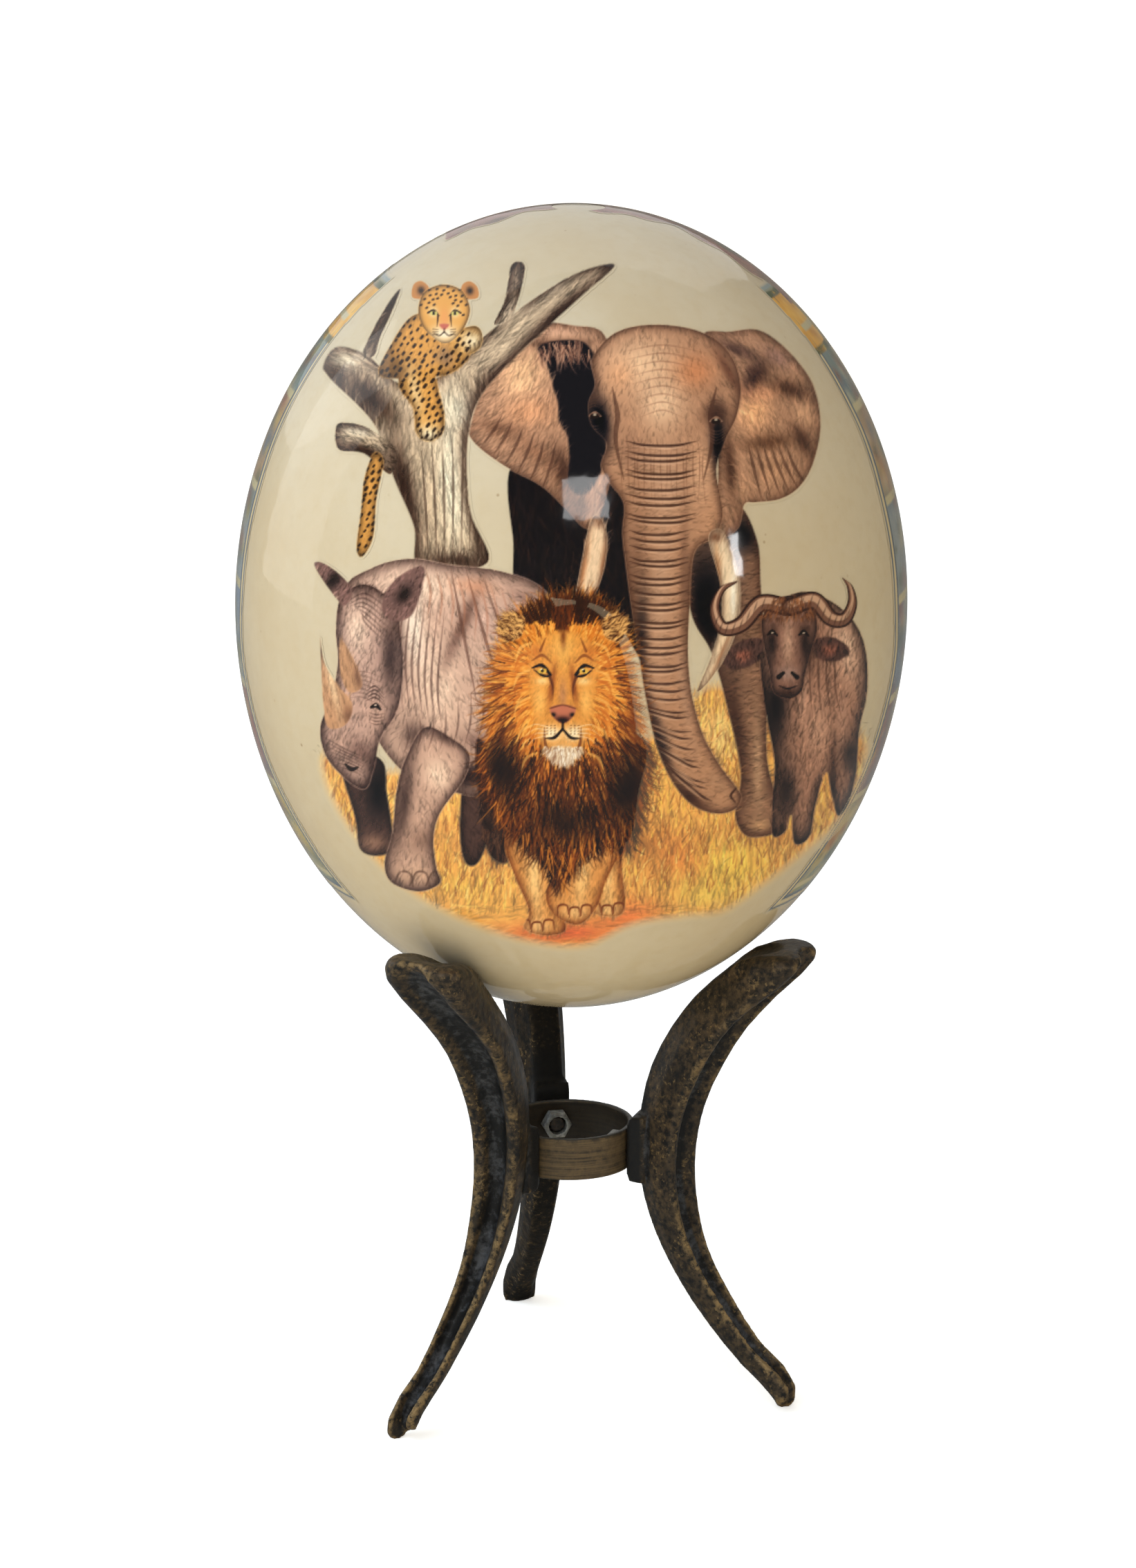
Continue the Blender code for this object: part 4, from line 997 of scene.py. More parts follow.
        draw(sheet, [(mid, -22.2), (mid + side * 1.5, -23.8), (mid + side * 3.2, -24)], (0.4, 0.6, 0.2),
            black, 0.95)
        draw(sheet, [(mid + side * 3.4, -22), (mid + side * 3.2, -25), (mid + side * 1.8, -27.6)],
            (0.2, 0.6, 0.3), (110, 60, 34), 0.75)
        for row in range(4):
            for spot in range(3):
                px = mid + side * (1.5 + 0.7 * spot)
                py = -21.6 - 0.5 * row
                draw(sheet, [(px, py), (px + 0.05, py)], (0.22, 0.22), (90, 48, 30), 0.85)
            draw(sheet, [(mid + side * 2.4, -22 - 0.5 * row), (mid + side * 5.2, -21.4 - 0.9 * row),
                (mid + side * 7.4, -22.6 - 1.3 * row)], (0.22, 0.16, 0.05), (255, 246, 226), 0.6)
    nose = fill(sheet, (196, 122, 96), [(-3.7, -18.3), (mid, -17.7), (0.9, -18.3), (0.4, -20),
        (mid, -21.2), (-3.2, -20)], 0.35)
    shades(sheet, nose, ((mid, -20.6), (2.0, 0.9), 0, (60, 30, 26), 1.2),
        ((-3.2, -19.6), (0.6, 0.5), 0, black, 1.2), ((0.4, -19.6), (0.6, 0.5), 0, black, 1.2))
    draw(sheet, [(-3.7, -18.4), (mid, -17.8), (0.9, -18.4)], (0.3, 0.3, 0.3), (110, 60, 40), 0.8)
    draw(sheet, [(mid, -21), (mid, -22.4)], (0.4, 0.4), black, 1.0)
    hairs(sheet, face * (sheet["y"] < -25.6), 420, lambda x, y: -90 + 6 * (x - mid), 1.7,
        ((255, 250, 240), (226, 200, 170), (150, 110, 84)), 0.6, 74, 0.2, 0.3)
    for side in (-1, 1):
        for k in range(14):
            y = -4.6 - 1.7 * k
            x = mid + side * (6.3 - 0.03 * abs(k - 5) ** 1.9)
            tone = ((214, 130, 54), (244, 190, 108), (196, 110, 44))[k % 3]
            draw(sheet, [(x, y), (x + side * 2, y - 1.0), (x + side * 3, y - 3.6)], (0.4, 0.6, 0.1), tone,
                0.6)


def paint_grass(sheet):
    """Dry golden grass and a bare red path, fading out towards their lower edge."""
    field = outline(sheet, [(-45.6, -27), (-44.4, -35), (-37.2, -45.6), (-28.4, -53.4), (-17.2, -59),
        (-6, -62.2), (3, -62.6), (11.6, -58.6), (21.2, -57), (28.6, -56), (36, -51), (43, -45.4),
        (50.6, -38), (54.4, -29), (54, -23), (45, -21), (36, -19), (26, -14), (14, -24), (-4, -30),
        (-24, -30), (-36, -30)], 2.2)
    lay(sheet, field, (242, 176, 90), 0.92)
    shades(sheet, field, ((-2, -60), (12, 2.4), 0, (222, 104, 56), 1.0),
        ((10, -57), (8, 3), 8, (226, 120, 66), 0.8), ((30, -48), (8, 5), 0, (248, 208, 96), 0.9),
        ((20, -46), (6, 5), 0, (226, 140, 70), 0.7), ((-26, -47), (8, 4), -30, (240, 170, 84), 0.7),
        ((-20, -52), (10, 3), -20, (238, 190, 92), 0.6), ((28, -24), (6, 7), 0, (244, 206, 140), 0.8),
        ((46, -38), (6, 5), 30, (240, 186, 110), 0.8), ((-14, -44), (8, 3), 0, (150, 96, 52), 0.6),
        ((14, -44), (5, 3), 0, (156, 96, 48), 0.6), ((34, -43), (6, 1.6), 0, (140, 90, 50), 0.6),
        ((26, -53), (8, 3), 0, (250, 220, 110), 0.7))
    hairs(sheet, field * (sheet["y"] > -57), 7600, 88, 3.2, (0.62, 0.8, 0.9, 1.1, 1.2), 0.6, 71, 0.2, 0.3,
        True)
    hairs(sheet, field * (sheet["y"] > -54), 1600, 84, 2.6,
        ((146, 88, 44), (186, 116, 52), (255, 226, 140), (250, 206, 96)), 0.7, 72, 0.25, 0.3, True)
    hairs(sheet, field * (sheet["y"] < -55), 500, 4, 3.0, (0.8, 1.12), 0.5, 73, 0.1)


VIEW_TILT = radians(12.34)
VIEW_FAR = 892.0
SPREAD = 1.0117
PAPER_LIFT = 0.05
INK_DEPTH = 0.90
INK_CONTRAST = 1.18
EGG_MIDDLE = np.array((0.0, 0.0, EGG_CENTRE * 1000))
UPRIGHT = np.array([[cos(EGG_LEAN), 0, -sin(EGG_LEAN)], [0, 1, 0], [sin(EGG_LEAN), 0, cos(EGG_LEAN)]])
PAPER_GIRTH, PAPER_HALF = EGG_RADIUS * 1000 + PAPER_LIFT, EGG_HALF_HEIGHT * 1000 + PAPER_LIFT


def onto_egg(start, step):
    """Where lines from the start points, running along step, first meet the egg, in millimetres."""
    o, v = (start - EGG_MIDDLE) @ UPRIGHT.T, step @ UPRIGHT.T
    reach = np.full(len(o), VIEW_FAR - 90.0)
    for turn in range(40):
        p = o + v * reach[:, None]
        t = p[:, 2] / PAPER_HALF
        full = PAPER_GIRTH * (1 + EGG_FULLNESS * t)
        gap = (p[:, 0] ** 2 + p[:, 1] ** 2) / full ** 2 + t * t - 1
        slope = 2 * (p[:, 0] * v[:, 0] + p[:, 1] * v[:, 1]) / full ** 2 + 2 * t * v[:, 2] / PAPER_HALF
        reach -= np.clip(gap / np.minimum(slope, -1e-4), -30, 30)
    return (o + v * reach[:, None]) @ UPRIGHT + EGG_MIDDLE, np.abs(gap) < 1e-4


def seen_from_front(sheet):
    """The place on the egg under each cell of a drawing that is seen from the front."""
    c, s = cos(VIEW_TILT), sin(VIEW_TILT)
    eye = EGG_MIDDLE + VIEW_FAR * np.array([0.0, -c, s])
    flat = np.stack([sheet["x"].ravel(), sheet["y"].ravel()], 1) * SPREAD
    aim = EGG_MIDDLE + flat[:, :1] * (1.0, 0.0, 0.0) + flat[:, 1:] * (0.0, s, c)
    step = aim - eye
    step /= np.linalg.norm(step, axis=1)[:, None]
    return onto_egg(np.broadcast_to(eye, step.shape), step)


def cut_out(name, sheet, places, pen, material):
    """The part of a drawing done with one pen, as a thin sheet lying on the egg."""
    wide = sheet["x"].shape[1]
    corner = np.arange(sheet["x"].size).reshape(sheet["x"].shape)[:-1, :-1].ravel()
    faces = np.stack([corner + wide, corner + wide + 1, corner + 1, corner], 1)
    cover = sheet["cover"].ravel()
    wanted = (cover[faces].max(1) > BARE) & (sheet["piece"].ravel()[corner] == pen)
    faces = faces[wanted]
    used, faces = np.unique(faces, return_inverse=True)
    faces = faces.reshape(-1, 4)
    mesh = bpy.data.meshes.new(name)
    mesh.vertices.add(len(used))
    mesh.vertices.foreach_set("co", (places[used] / 1000).ravel())
    mesh.loops.add(faces.size)
    mesh.loops.foreach_set("vertex_index", faces.ravel().astype(np.int32))
    mesh.polygons.add(len(faces))
    mesh.polygons.foreach_set("loop_start", np.arange(0, faces.size, 4, dtype=np.int32))
    mesh.update(calc_edges=True)
    mesh.shade_smooth()
    tint = np.clip(sheet["ink"].reshape(-1, 3)[used] / 255, 0, 1)
    tint = np.where(tint <= 0.04045, tint / 12.92, ((tint + 0.055) / 1.055) ** 2.4)
    tint = INK_DEPTH * tint ** INK_CONTRAST
    ink = mesh.attributes.new("ink", "FLOAT_COLOR", "POINT")
    ink.data.foreach_set("color", np.hstack([tint, np.ones((len(used), 1))]).ravel())
    covered = mesh.attributes.new("cover", "FLOAT", "POINT")
    covered.data.foreach_set("value", cover[used])
    mesh.materials.append(material)
    piece = new_object(name, mesh)
    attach(piece, "root")


PICTURE_LACQUER = lacquer("picture lacquer", ink=True)
FRONT_CUT_OUTS = (("picture_grass", paint_grass), ("picture_elephant", paint_elephant),
    ("picture_tree", paint_tree), ("picture_leopard", paint_leopard), ("picture_rhino", paint_rhino),
    ("picture_buffalo", paint_buffalo), ("picture_lion", paint_lion))
front = new_sheet(-50.0, 57.0, -65.0, 65.0, 0.2)
for pen, (title, paint) in enumerate(FRONT_CUT_OUTS):
    front["pen"] = pen
    paint(front)
front_places, on_egg = seen_from_front(front)
front["cover"] *= on_egg.reshape(front["cover"].shape)
for pen, (title, _) in enumerate(FRONT_CUT_OUTS):
    cut_out(title, front, front_places, pen, PICTURE_LACQUER)

# Back picture: a second printed sheet, glued round the back of the egg so that its two long
# sides just show from the front. It is a quiet savanna evening in a patchwork border between
# slate-blue lines. A torn dusty-rose strip covers its top. Places are in millimetres round and up.

ROUND = 62.7
UP = 69.0
SHEET_LOW, SHEET_HIGH = -50.0, 68.0
LINES, PATCH, FRAME = 3.0, 17.0, 19.1  # how far in the outer lines, the patches and the frame end
PATCH_ACROSS = 21.0
FAR_BELOW = 300.0  # counts the patches from well outside the sheet
SLATE, ROSE, OCHRE, GREEN = (84, 98, 118), (162, 122, 116), (222, 174, 84), (78, 92, 66)
MIST, SAND = (152, 160, 158), (214, 196, 158)


def passing(value, soft=0.5):
    """Runs from 0 to 1 as a value passes zero."""
    return np.clip(value / soft + 0.5, 0, 1)


def rising(value, soft=0.5):
    """Runs from 0 to 1 as a value rises from zero."""
    return np.clip(value / soft, 0, 1)


def mottle(sheet, mask, count, size, colours, strength, seed):
    """Many soft blots of colour in a mask."""
    rng = np.random.default_rng(seed)
    rows, columns = np.nonzero(mask > 0.5)
    for pick in rng.integers(0, len(rows), count):
        x, y = sheet["x"][rows[pick], columns[pick]], sheet["y"][rows[pick], columns[pick]]
        wide = size * rng.uniform(0.5, 1.5)
        area = window(sheet, np.array([[x, y]]), 2.2 * wide)
        far = ((sheet["x"][area] - x) ** 2 + ((sheet["y"][area] - y) * 1.6) ** 2) / wide ** 2
        amount = mask[area] * strength * np.exp(-OVAL_FALL * far)
        stain(sheet, amount, colours[rng.integers(0, len(colours))], area)


def acacia(sheet, x, y, size, colour):
    """A flat-topped thorn tree."""
    draw(sheet, [(x, y), (x + 0.03 * size, y + 0.3 * size), (x - 0.02 * size, y + 0.55 * size)],
        (0.09 * size, 0.05 * size, 0.04 * size), colour)
    for lean in (-0.42, -0.2, 0.06, 0.3, 0.46):
        draw(sheet, [(x, y + 0.45 * size), (x + 0.5 * lean * size, y + 0.66 * size),
            (x + lean * size, y + 0.84 * size)], (0.04 * size, 0.03 * size, 0.02 * size), colour)
    crown = np.zeros(sheet["x"].shape)
    for lean, rise, wide in ((-0.3, 0.86, 0.42), (0.26, 0.9, 0.46), (0, 0.98, 0.34), (0.5, 0.84, 0.2),
            (-0.56, 0.82, 0.2)):
        far = ((sheet["x"] - x - lean * size) / (wide * size)) ** 2
        far += ((sheet["y"] - y - rise * size) / (0.085 * size)) ** 2
        crown = np.maximum(crown, np.clip(3 * (1 - far), 0, 1))
    lay(sheet, crown, colour)
    hairs(sheet, crown, 260, 90, 0.07 * size, ((72, 78, 46), (34, 34, 26), colour), 0.8,
        int(100 + abs(x)), 0.9, 0.3)


def giraffe(sheet, x, y, size, way, colour):
    """A giraffe far off, in one dark tone."""
    def at(points):
        return [(x + way * px * size, y + py * size) for px, py in points]

    lay(sheet, outline(sheet, at([(-0.2, 0.46), (-0.16, 0.56), (0.1, 0.62), (0.2, 0.56), (0.18, 0.44),
        (0, 0.4)]), 0.4), colour)
    draw(sheet, at([(0.14, 0.56), (0.26, 0.8), (0.36, 1.02)]), (0.14 * size, 0.07 * size, 0.055 * size),
        colour)
    draw(sheet, at([(0.34, 1.02), (0.42, 1.02), (0.5, 0.97)]), (0.07 * size, 0.06 * size, 0.03 * size),
        colour)
    for foot, knee in ((-0.18, -0.2), (-0.12, -0.1), (0.13, 0.12), (0.19, 0.2)):
        draw(sheet, at([(foot, 0.48), (knee, 0.24), (foot, 0)]), (0.07 * size, 0.035 * size, 0.03 * size),
            colour)
    draw(sheet, at([(-0.2, 0.54), (-0.27, 0.36)]), (0.03 * size, 0.02 * size), colour)


def paint_back(sheet):
    """The evening picture, its border, and the torn strip along the top."""
    x, y = sheet["x"], sheet["y"]
    wander = 1.2 * np.sin(y / 9.0) + 0.5 * np.sin(y / 3.1)
    side = ROUND * radians(105.5) + wander * 0.4 + 0.056 * np.clip(-y, 0, 60) ** 1.5
    side += 4.0 * (x < 0)
    inset = side - np.abs(x)
    sheet_mask = passing(inset) * (passing(y - SHEET_LOW) * passing(SHEET_HIGH - y))
    lay(sheet, sheet_mask, MIST)
    ends = np.minimum(SHEET_HIGH - y, y - SHEET_LOW)
    edge = np.minimum(inset, ends)
    border = sheet_mask * rising(edge - LINES) * rising(PATCH - edge)
    tones = ((150, 158, 164), (176, 150, 122), (128, 142, 140), (186, 168, 112), (160, 128, 122),
        (132, 146, 166))
    along = np.where(inset < ends, np.floor((y + FAR_BELOW) / PATCH),
        np.floor((x + FAR_BELOW) / PATCH_ACROSS))
    for number, tone in enumerate(tones):
        lay(sheet, border * (along.astype(int) % len(tones) == number), tone)
    mottle(sheet, border, 900, 3.0, ((196, 176, 108), (150, 84, 66), (104, 120, 140), (206, 196, 170),
        (96, 104, 84)), 0.5, 81)
    for corner_x in (-1, 1):
        low, high = SHEET_HIGH - PATCH, SHEET_HIGH - 1.4
        mask = sheet_mask * (inset < PATCH) * (inset > 0.3) * (np.sign(x) == corner_x)
        square = mask * np.clip((y - low) * 2, 0, 1) * np.clip((high - y) * 2, 0, 1)
        lay(sheet, square, OCHRE)
        for end in (low, high):
            lay(sheet, square * (np.abs(y - end) < 1.8), GREEN)
        mottle(sheet, square, 60, 2.0, ((236, 196, 110), (198, 146, 66)), 0.5, 82)
    lines = ((0.0, 0.9, SLATE), (0.9, 2.2, SAND), (2.2, 3.0, SLATE), (16.4, 17.2, SLATE),
        (17.2, 18.6, SAND), (18.6, FRAME, (120, 92, 60)))
    clear = 1 - (edge < LINES) * (inset < PATCH) * (y > SHEET_HIGH - PATCH)
    for start, end, tone in lines:
        stripe = passing(edge - start) * passing(end - edge)
        lay(sheet, sheet_mask * stripe * clear, tone)
    joints = border * (np.abs((y + FAR_BELOW) % PATCH - PATCH / 2) > 7.9) * (inset < 17.2)
    lay(sheet, joints, (196, 186, 152))
    picture = sheet_mask * rising(edge - FRAME)
    sky = np.clip((y + 14) / 60, 0, 1)[..., None]
    stain(sheet, picture, np.array((240, 178, 98)) * (1 - sky) + np.array((206, 204, 186)) * sky)
    shade(sheet, picture, (18, 6), (30, 16), 0, (252, 214, 130), 0.9)
    lay(sheet, picture * np.clip((7.4 - np.hypot(x - 18, y - 7)) * 2, 0, 1), (250, 232, 178))
    mottle(sheet, picture * (y > 12), 120, 9.0, ((232, 206, 160), (190, 188, 178), (236, 190, 130)), 0.35,
        83)
    for height, swell, tone in ((-1, 3.0, (172, 150, 136)), (-6, 2.2, (146, 118, 92)),
            (-11, 1.6, (196, 146, 78))):
        ridge = height + swell * np.sin(x / 17.0 + height) + 0.7 * swell * np.sin(x / 7.3 + 2 * height)
        lay(sheet, picture * np.clip((ridge - y) * 1.5, 0, 1), tone)
    plain = picture * (y < -9)
    mottle(sheet, plain, 240, 6.0, ((222, 172, 90), (178, 120, 62), (236, 196, 116), (140, 112, 62)), 0.5,
        84)
    hairs(sheet, plain, 5200, 88, 2.6, (0.66, 0.82, 1.12, 1.2), 0.55, 85)
    mask_before = sheet["cover"].copy()
    tree_tone, far_tone = (44, 42, 30), (74, 60, 48)
    for place, foot, size in ((-52, -12, 34), (-30, -9, 17), (2, -7, 11), (60, -14, 40), (38, -8, 14),
            (-74, -8, 15)):
        acacia(sheet, place, foot, size, tree_tone if size > 20 else far_tone)
    for place, foot, size, way in ((-16, -13, 19, 1), (-5, -12, 15, 1), (12, -15, 22, -1)):
        giraffe(sheet, place, foot, size, way, (70, 46, 32))
    hairs(sheet, picture * (y < -24) * (y > -30), 900, 90, 5.0,
        ((120, 84, 44), (90, 66, 38), (232, 190, 106)), 0.8, 86)
    sheet["cover"] = np.maximum(mask_before, sheet["cover"] * (sheet_mask > 0.5))
    sheet["piece"] = np.where(x > 0, 1, 0)
    turn, rise = x / ROUND, y / UP
    behind = ROUND * np.cos(rise) * np.cos(turn)
    beside = ROUND * np.cos(rise) * np.sin(turn)
    torn = 1.3 * np.sin(beside / 3.7) + 0.9 * np.sin(beside / 1.45 + 1) - 3.6 - 0.07 * np.abs(beside)
    lowest = 62 + 0.8 * np.sin(x / 2.3) + 0.5 * np.sin(x)
    strip = rising(behind - torn) * rising(y - lowest)
    strip *= rising(35 + 1.2 * np.sin(y) - np.abs(beside + 10))
    sheet["pen"] = 2
    lay(sheet, strip, ROSE)
    mottle(sheet, strip, 420, 4.0, ((176, 132, 122), (132, 92, 90), (126, 124, 102), (150, 140, 126),
        (110, 104, 96)), 0.6, 87)
    hairs(sheet, strip, 1500, 0, 3.0, (0.75, 0.88, 1.12), 0.4, 88)


def seen_from_behind(sheet):
    """The place on the egg of each cell of a sheet that is wrapped round its back."""
    turn, rise = sheet["x"].ravel() / ROUND, sheet["y"].ravel() / UP
    out = PAPER_GIRTH * np.cos(rise) * (1 + EGG_FULLNESS * np.sin(rise))
    own = np.stack([-out * np.sin(turn), out * np.cos(turn), PAPER_HALF * np.sin(rise)], 1)
    return own @ UPRIGHT + EGG_MIDDLE


back = new_sheet(-ROUND * pi, ROUND * pi, -51.0, 103.0, 0.5)
paint_back(back)
back_places = seen_from_behind(back)
for pen, title in enumerate(("back_picture_left", "back_picture_right", "back_torn_strip")):
    cut_out(title, back, back_places, pen, PICTURE_LACQUER)

# Legs: three sand-cast claw feet in bronze, dipped in a near-black patina. Hands and cloth have worn it
# through to brown and gold on the rims. Pale dust with a painted blue-grey sheen is laid in the grooves,
# and the faces turned in towards the stand and the parts beside the ring stay dark, partly as painted
# shade.

LEG_DARK = (0.011, 0.0108, 0.011, 1.0)
LEG_BROWN = (0.092, 0.062, 0.034, 1.0)
LEG_GOLD = (0.360, 0.245, 0.115, 1.0)
# Pale dust with a painted blue-grey sheen, laid in the grooves of the legs.
LEG_DUST_AND_SHEEN = (0.110, 0.115, 0.130, 1.0)
LEG_GRAIN = 0.00045
STAND_AXIS = (np.array(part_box("ring")[0]) + np.array(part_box("ring")[1])) / 2
RING_RADIUS = (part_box("ring")[1][0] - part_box("ring")[0][0]) / 2
RUB_ROUNDS = 6
SHELTER_AND_SHADE, SHELTER_AND_SHADE_EDGE = 0.0062, 0.003  # closer than this to the ring, and over its soft edge, the legs stay dark: no hand gets there, and it is painted shade where they meet the ring


def read_all(items, field, width, kind=float):
    """One field of all the points, edges or normals of a mesh."""
    values = np.empty(len(items) * width, kind)
    items.foreach_get(field, values)
    return values.reshape(-1, width)


def softened(name, node, grain, rounds, spread=60, handled_and_shaded=True):
    """A smooth closed copy of a CAD node. How far each point stands out from the points next to it is kept
    as "rub", and from a wide stretch of the surface round it as "swell". "reach" says how far it faces
    away from the stand, and it drops close to the ring. Where it is low, the finish stays dark, partly
    where hands and cloth cannot get at it and partly as painted shade."""
    mesh = bpy.data.objects[node].data.copy()
    shape = bmesh.new()
    shape.from_mesh(mesh)
    bmesh.ops.remove_doubles(shape, verts=shape.verts, dist=1e-6)
    bmesh.ops.recalc_face_normals(shape, faces=shape.faces)
    shape.to_mesh(mesh)
    shape.free()
    mesh.materials.clear()
    model = new_object(name + " pattern", mesh)
    cast = model.modifiers.new("cast", "REMESH")
    cast.mode = "VOXEL"
    cast.voxel_size = grain
    settle = model.modifiers.new("settle", "SMOOTH")
    settle.factor = 0.5
    settle.iterations = rounds
    view = model.evaluated_get(bpy.context.evaluated_depsgraph_get())
    mesh = bpy.data.meshes.new_from_object(view)
    bpy.data.objects.remove(model)
    mesh.name = name
    count = len(mesh.vertices)
    place = read_all(mesh.vertices, "co", 3)
    facing = read_all(mesh.vertex_normals, "vector", 3)
    first, second = read_all(mesh.edges, "vertices", 2, np.int32).T
    share = np.bincount(first, minlength=count) + np.bincount(second, minlength=count)

    def neighbours(value):
        around = np.bincount(first, value[second], count) + np.bincount(second, value[first], count)
        return around / np.maximum(share, 1)

    def mean_place(points):
        return np.stack([neighbours(points[:, k]) for k in range(3)], 1)

    def outwards(way):
        return np.einsum("ij,ij->i", way, facing)

    rub = outwards(place - mean_place(place)) / grain
    for turn in range(RUB_ROUNDS):
        rub = 0.4 * rub + 0.6 * neighbours(rub)
    wide = place.copy()
    for turn in range(spread):
        wide = 0.3 * wide + 0.7 * mean_place(wide)
    away = place - STAND_AXIS
    away[:, 2] = 0.0
    radius = np.linalg.norm(away, axis=1)
    # Faces turned in towards the stand, and parts close to the ring, get a low reach and keep the dark
    # patina: partly unhandled, partly painted shade.
    reach = outwards(away) / np.maximum(radius, 1e-6)
    sheltered_and_shaded = (radius - RING_RADIUS - SHELTER_AND_SHADE) / SHELTER_AND_SHADE_EDGE
    reach = np.minimum(reach, sheltered_and_shaded) if handled_and_shaded else radius * 0
    for title, value in (("rub", rub), ("swell", outwards(place - wide) / 0.001), ("reach", reach)):
        mesh.attributes.new(title, "FLOAT", "POINT").data.foreach_set("value", value)
    mesh.shade_smooth()
    piece = new_object(name, mesh)
    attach(piece, "root")
    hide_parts(node)
    return piece


def worn_metal_group():
    """Dark patina speckled brown and gold, worn to gold on what stands out, black where it lies low, with
    a hollow tint left there: on the legs, pale dust with a painted blue-grey sheen. Speckle and wear fade
    out where the reach is low, which keeps those faces dark, partly as painted shade."""
    tree, given, result, place = finish_group("worn metal", ("Dark", "Brown", "Gold", "Dust"),
        ("Rub", "Swell", "Reach", "Mottle", "Wear"), ("Metal", "Roughness", "Height"))
    grains = noise(tree, place, 800.0, 4.0, 0.7)
    patches = noise(tree, place, 110.0, 4.0, 0.6)
    low = ramp(tree, given["Swell"], -0.04, -0.22)
    # This mask drops on faces turned in to the stand and beside the ring, so speckle and wear leave them
    # dark: partly unhandled, partly painted shade.
    handled_and_lit = ramp(tree, given["Reach"], -1.0, -0.45)
    raised = times(tree, sums(tree, "SUBTRACT", 1.0, low), handled_and_lit)
    speckle = times(tree, ramp(tree, grains, 0.40, 0.60), ramp(tree, patches, 0.25, 0.60),
        given["Mottle"], raised)
    colour = blend(tree, speckle, given["Dark"], given["Brown"])
    fleck = times(tree, ramp(tree, noise(tree, place, 1150.0, 3.0, 0.65), 0.56, 0.66),
        ramp(tree, noise(tree, place, 170.0, 3.0), 0.42, 0.60), raised, 0.55)
    colour = blend(tree, fleck, colour, given["Gold"])
    # Colour laid in low places: on the legs it is pale dust with a painted blue-grey sheen.
    hollow_tint = ramp(tree, wire(tree, "ShaderNodeMath", {0: grains, 1: patches}).outputs[0], 0.96, 1.22)
    colour = blend(tree, times(tree, hollow_tint, low, 0.55), colour, given["Dust"])
    uneven = noise(tree, place, 330.0, 5.0, 0.65)
    edge = wire(tree, "ShaderNodeMath", {0: given["Rub"], 1: 8.0, 2: uneven}, operation="MULTIPLY_ADD")
    worn = times(tree, ramp(tree, edge.outputs[0], 0.90, 1.25), given["Wear"],
        ramp(tree, grains, 0.38, 0.58), handled_and_lit)
    colour = blend(tree, worn, colour, given["Gold"])
    tree.links.new(colour, result["Colour"])
    bright = sums(tree, "MAXIMUM", worn, fleck)
    metal = wire(tree, "ShaderNodeMath", {0: bright, 1: 0.45, 2: 0.30}, operation="MULTIPLY_ADD")
    tree.links.new(metal.outputs[0], result["Metal"])
    rough = wire(tree, "ShaderNodeMath", {0: uneven, 1: 0.30, 2: 0.27}, operation="MULTIPLY_ADD")
    tree.links.new(rough.outputs[0], result["Roughness"])
    pits = wire(tree, "ShaderNodeMath", {0: noise(tree, place, 700.0, 4.0, 0.6), 1: 0.5,
        2: noise(tree, place, 190.0, 3.0)}, operation="MULTIPLY_ADD")
    tree.links.new(pits.outputs[0], result["Height"])
    return tree


WORN_METAL = worn_metal_group()


def worn_metal(name, dark, brown, gold, hollow_tint, mottle, wear, bump):
    """A metal finish made from the worn metal group."""
    material = bpy.data.materials.new(name)
    material.use_nodes = True
    tree = material.node_tree
    shader = tree.nodes["Principled BSDF"]
    finish = wire(tree, "ShaderNodeGroup", node_tree=WORN_METAL)
    for title, value in (("Dark", dark), ("Brown", brown), ("Gold", gold), ("Dust", hollow_tint),
            ("Mottle", mottle), ("Wear", wear)):
        finish.inputs[title].default_value = value
    for title in ("Rub", "Swell", "Reach"):
        point = wire(tree, "ShaderNodeAttribute", attribute_name=title.lower())
        tree.links.new(point.outputs["Fac"], finish.inputs[title])
    for title, socket in (("Colour", "Base Color"), ("Metal", "Metallic"), ("Roughness", "Roughness")):
        tree.links.new(finish.outputs[title], shader.inputs[socket])
    raised = wire(tree, "ShaderNodeBump", {"Height": finish.outputs["Height"], "Strength": 0.6,
        "Distance": bump})
    tree.links.new(raised.outputs["Normal"], shader.inputs["Normal"])
    return material


LEG_PATINA = worn_metal("bronze patina", LEG_DARK, LEG_BROWN, LEG_GOLD, LEG_DUST_AND_SHEEN, 0.95, 0.9, 0.0004)
# A darker copy of the patina for the back leg, with less speckle and wear and weaker reflections: painted
# shade, since that leg stands behind the others.
BACK_PATINA_SHADED = worn_metal("shaded back leg patina", LEG_DARK, LEG_BROWN, LEG_GOLD, LEG_DUST_AND_SHEEN, 0.4, 0.5, 0.0004)
BACK_PATINA_SHADED.node_tree.nodes["Principled BSDF"].inputs["Specular IOR Level"].default_value = 0.08
for side in ("left", "right", "back"):
    leg = softened("claw_leg_" + side, "leg_" + side, LEG_GRAIN, 3)
    leg.data.materials.append(BACK_PATINA_SHADED if side == "back" else LEG_PATINA)

# Ring: a short length of drawn brass tube that holds the three legs together. It is brushed round and
# round, lacquered brown, chipped dark along its top edge and dull grey on its rim. Its inside face is
# painted near-black as shade.

RING_DARK = (0.035, 0.028, 0.021, 1.0)
RING_BROWN = (0.088, 0.062, 0.036, 1.0)
RING_GOLD = (0.205, 0.138, 0.068, 1.0)
# Near-black for the ring's inside face: painted shade.
RING_INSIDE_SHADE = (0.016, 0.013, 0.010, 1.0)
RING_RIM = (0.045, 0.044, 0.042, 1.0)


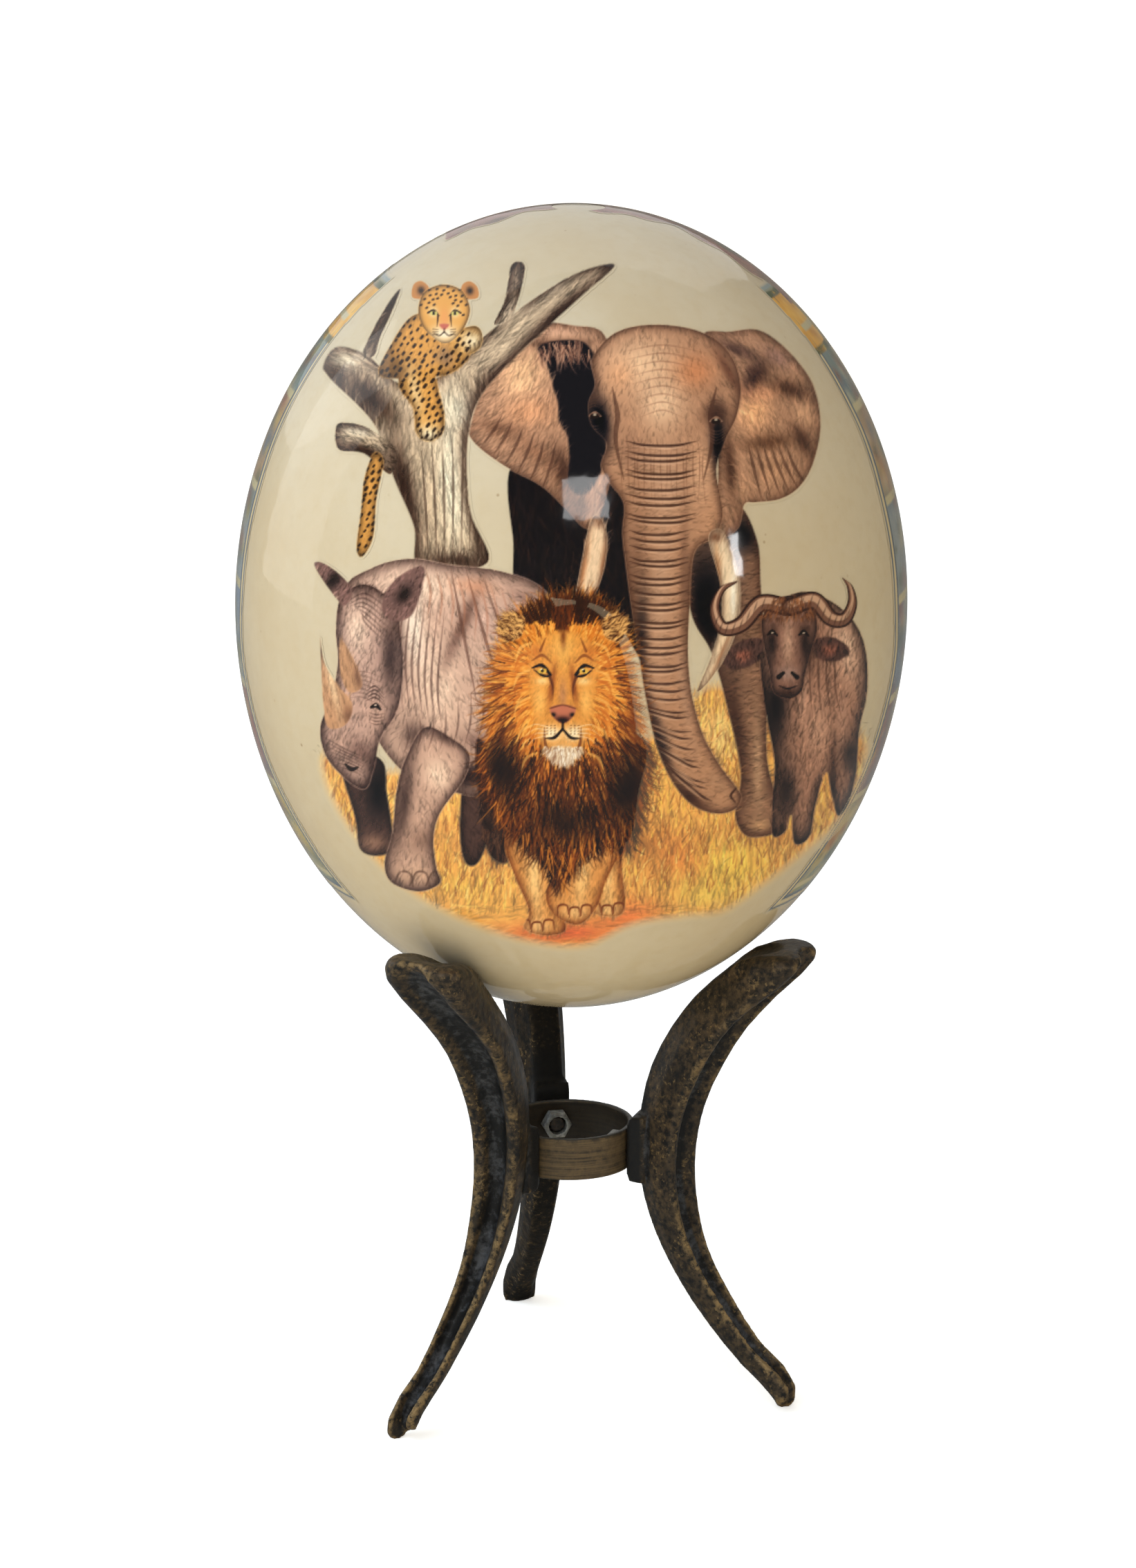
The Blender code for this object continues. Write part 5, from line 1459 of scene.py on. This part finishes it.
def brushed_band():
    """Brown-gold metal with fine lines round it, dark at its top edge, and near-black painted shade on its
    inside face.
    """
    material = worn_metal("brushed band", RING_DARK, RING_BROWN, RING_GOLD, RING_RIM, 1.0, 0.15, 0.0002)
    tree = material.node_tree
    shader = tree.nodes["Principled BSDF"]
    base = shader.inputs["Base Color"].links[0].from_socket
    place = tree.nodes.new("ShaderNodeTexCoord").outputs["Object"]
    stretched = wire(tree, "ShaderNodeMapping", {"Vector": place, "Scale": (45.0, 45.0, 2200.0)})
    lines = ramp(tree, noise(tree, stretched.outputs[0], 1.0, 4.0, 0.65), 0.36, 0.68)
    colour = blend(tree, times(tree, lines, 0.75), base, RING_GOLD)
    height = wire(tree, "ShaderNodeSeparateXYZ", {0: place}).outputs["Z"]
    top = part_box("ring")[1][2]
    edge = ramp(tree, height, top - 0.0014, top - 0.0002)
    chips = ramp(tree, noise(tree, place, 420.0, 3.0, 0.6), 0.44, 0.56)
    colour = blend(tree, times(tree, edge, chips, 0.85), colour, RING_DARK)
    # Painted shade: faces turned towards the ring's middle are made near-black.
    normal = tree.nodes.new("ShaderNodeNewGeometry").outputs["Normal"]
    away = wire(tree, "ShaderNodeVectorMath", {0: place, 1: tuple(STAND_AXIS)}, operation="SUBTRACT")
    inner = wire(tree, "ShaderNodeVectorMath", {0: away.outputs[0], 1: normal}, operation="DOT_PRODUCT")
    shaded_inside = ramp(tree, inner.outputs["Value"], 0.0, -0.01)
    colour = blend(tree, times(tree, shaded_inside, 0.9), colour, RING_INSIDE_SHADE)
    facing = wire(tree, "ShaderNodeSeparateXYZ", {0: normal}).outputs["Z"]
    colour = blend(tree, ramp(tree, facing, 0.5, 0.8), colour, RING_RIM)
    tree.links.new(colour, shader.inputs["Base Color"])
    return material


ring = softened("brass_ring", "ring", 0.0003, 2, 60, False)
ring.data.materials.append(brushed_band())

# Studs and nuts: a short steel stud is screwed into the back of each leg. It passes through a
# hole in the ring and is held by a hexagon nut. Both are plain steel, gone dull grey.

STEEL_DARK = (0.110, 0.112, 0.112, 1.0)
STEEL_GREY = (0.230, 0.240, 0.240, 1.0)
STEEL_BRIGHT = (0.480, 0.490, 0.490, 1.0)
STEEL_RUST = (0.120, 0.075, 0.045, 1.0)
STUD_BLACK = (0.018, 0.017, 0.016, 1.0)
DULL_STEEL = worn_metal("dull steel", STEEL_DARK, STEEL_GREY, STEEL_BRIGHT, STEEL_RUST, 1.0, 0.7, 0.0001)
BLACK_STEEL = worn_metal("black steel", STUD_BLACK, STEEL_RUST, STEEL_DARK, STEEL_RUST, 0.6, 0.5, 0.0001)
for side in ("left", "right", "back"):
    nut = softened("hexagon_nut_" + side, "nut_" + side, 0.00013, 1, 20, False)
    nut.data.materials.append(DULL_STEEL)
    stud = softened("threaded_stud_" + side, "stud_" + side, 0.00015, 1, 20, False)
    stud.data.materials.append(BLACK_STEEL)
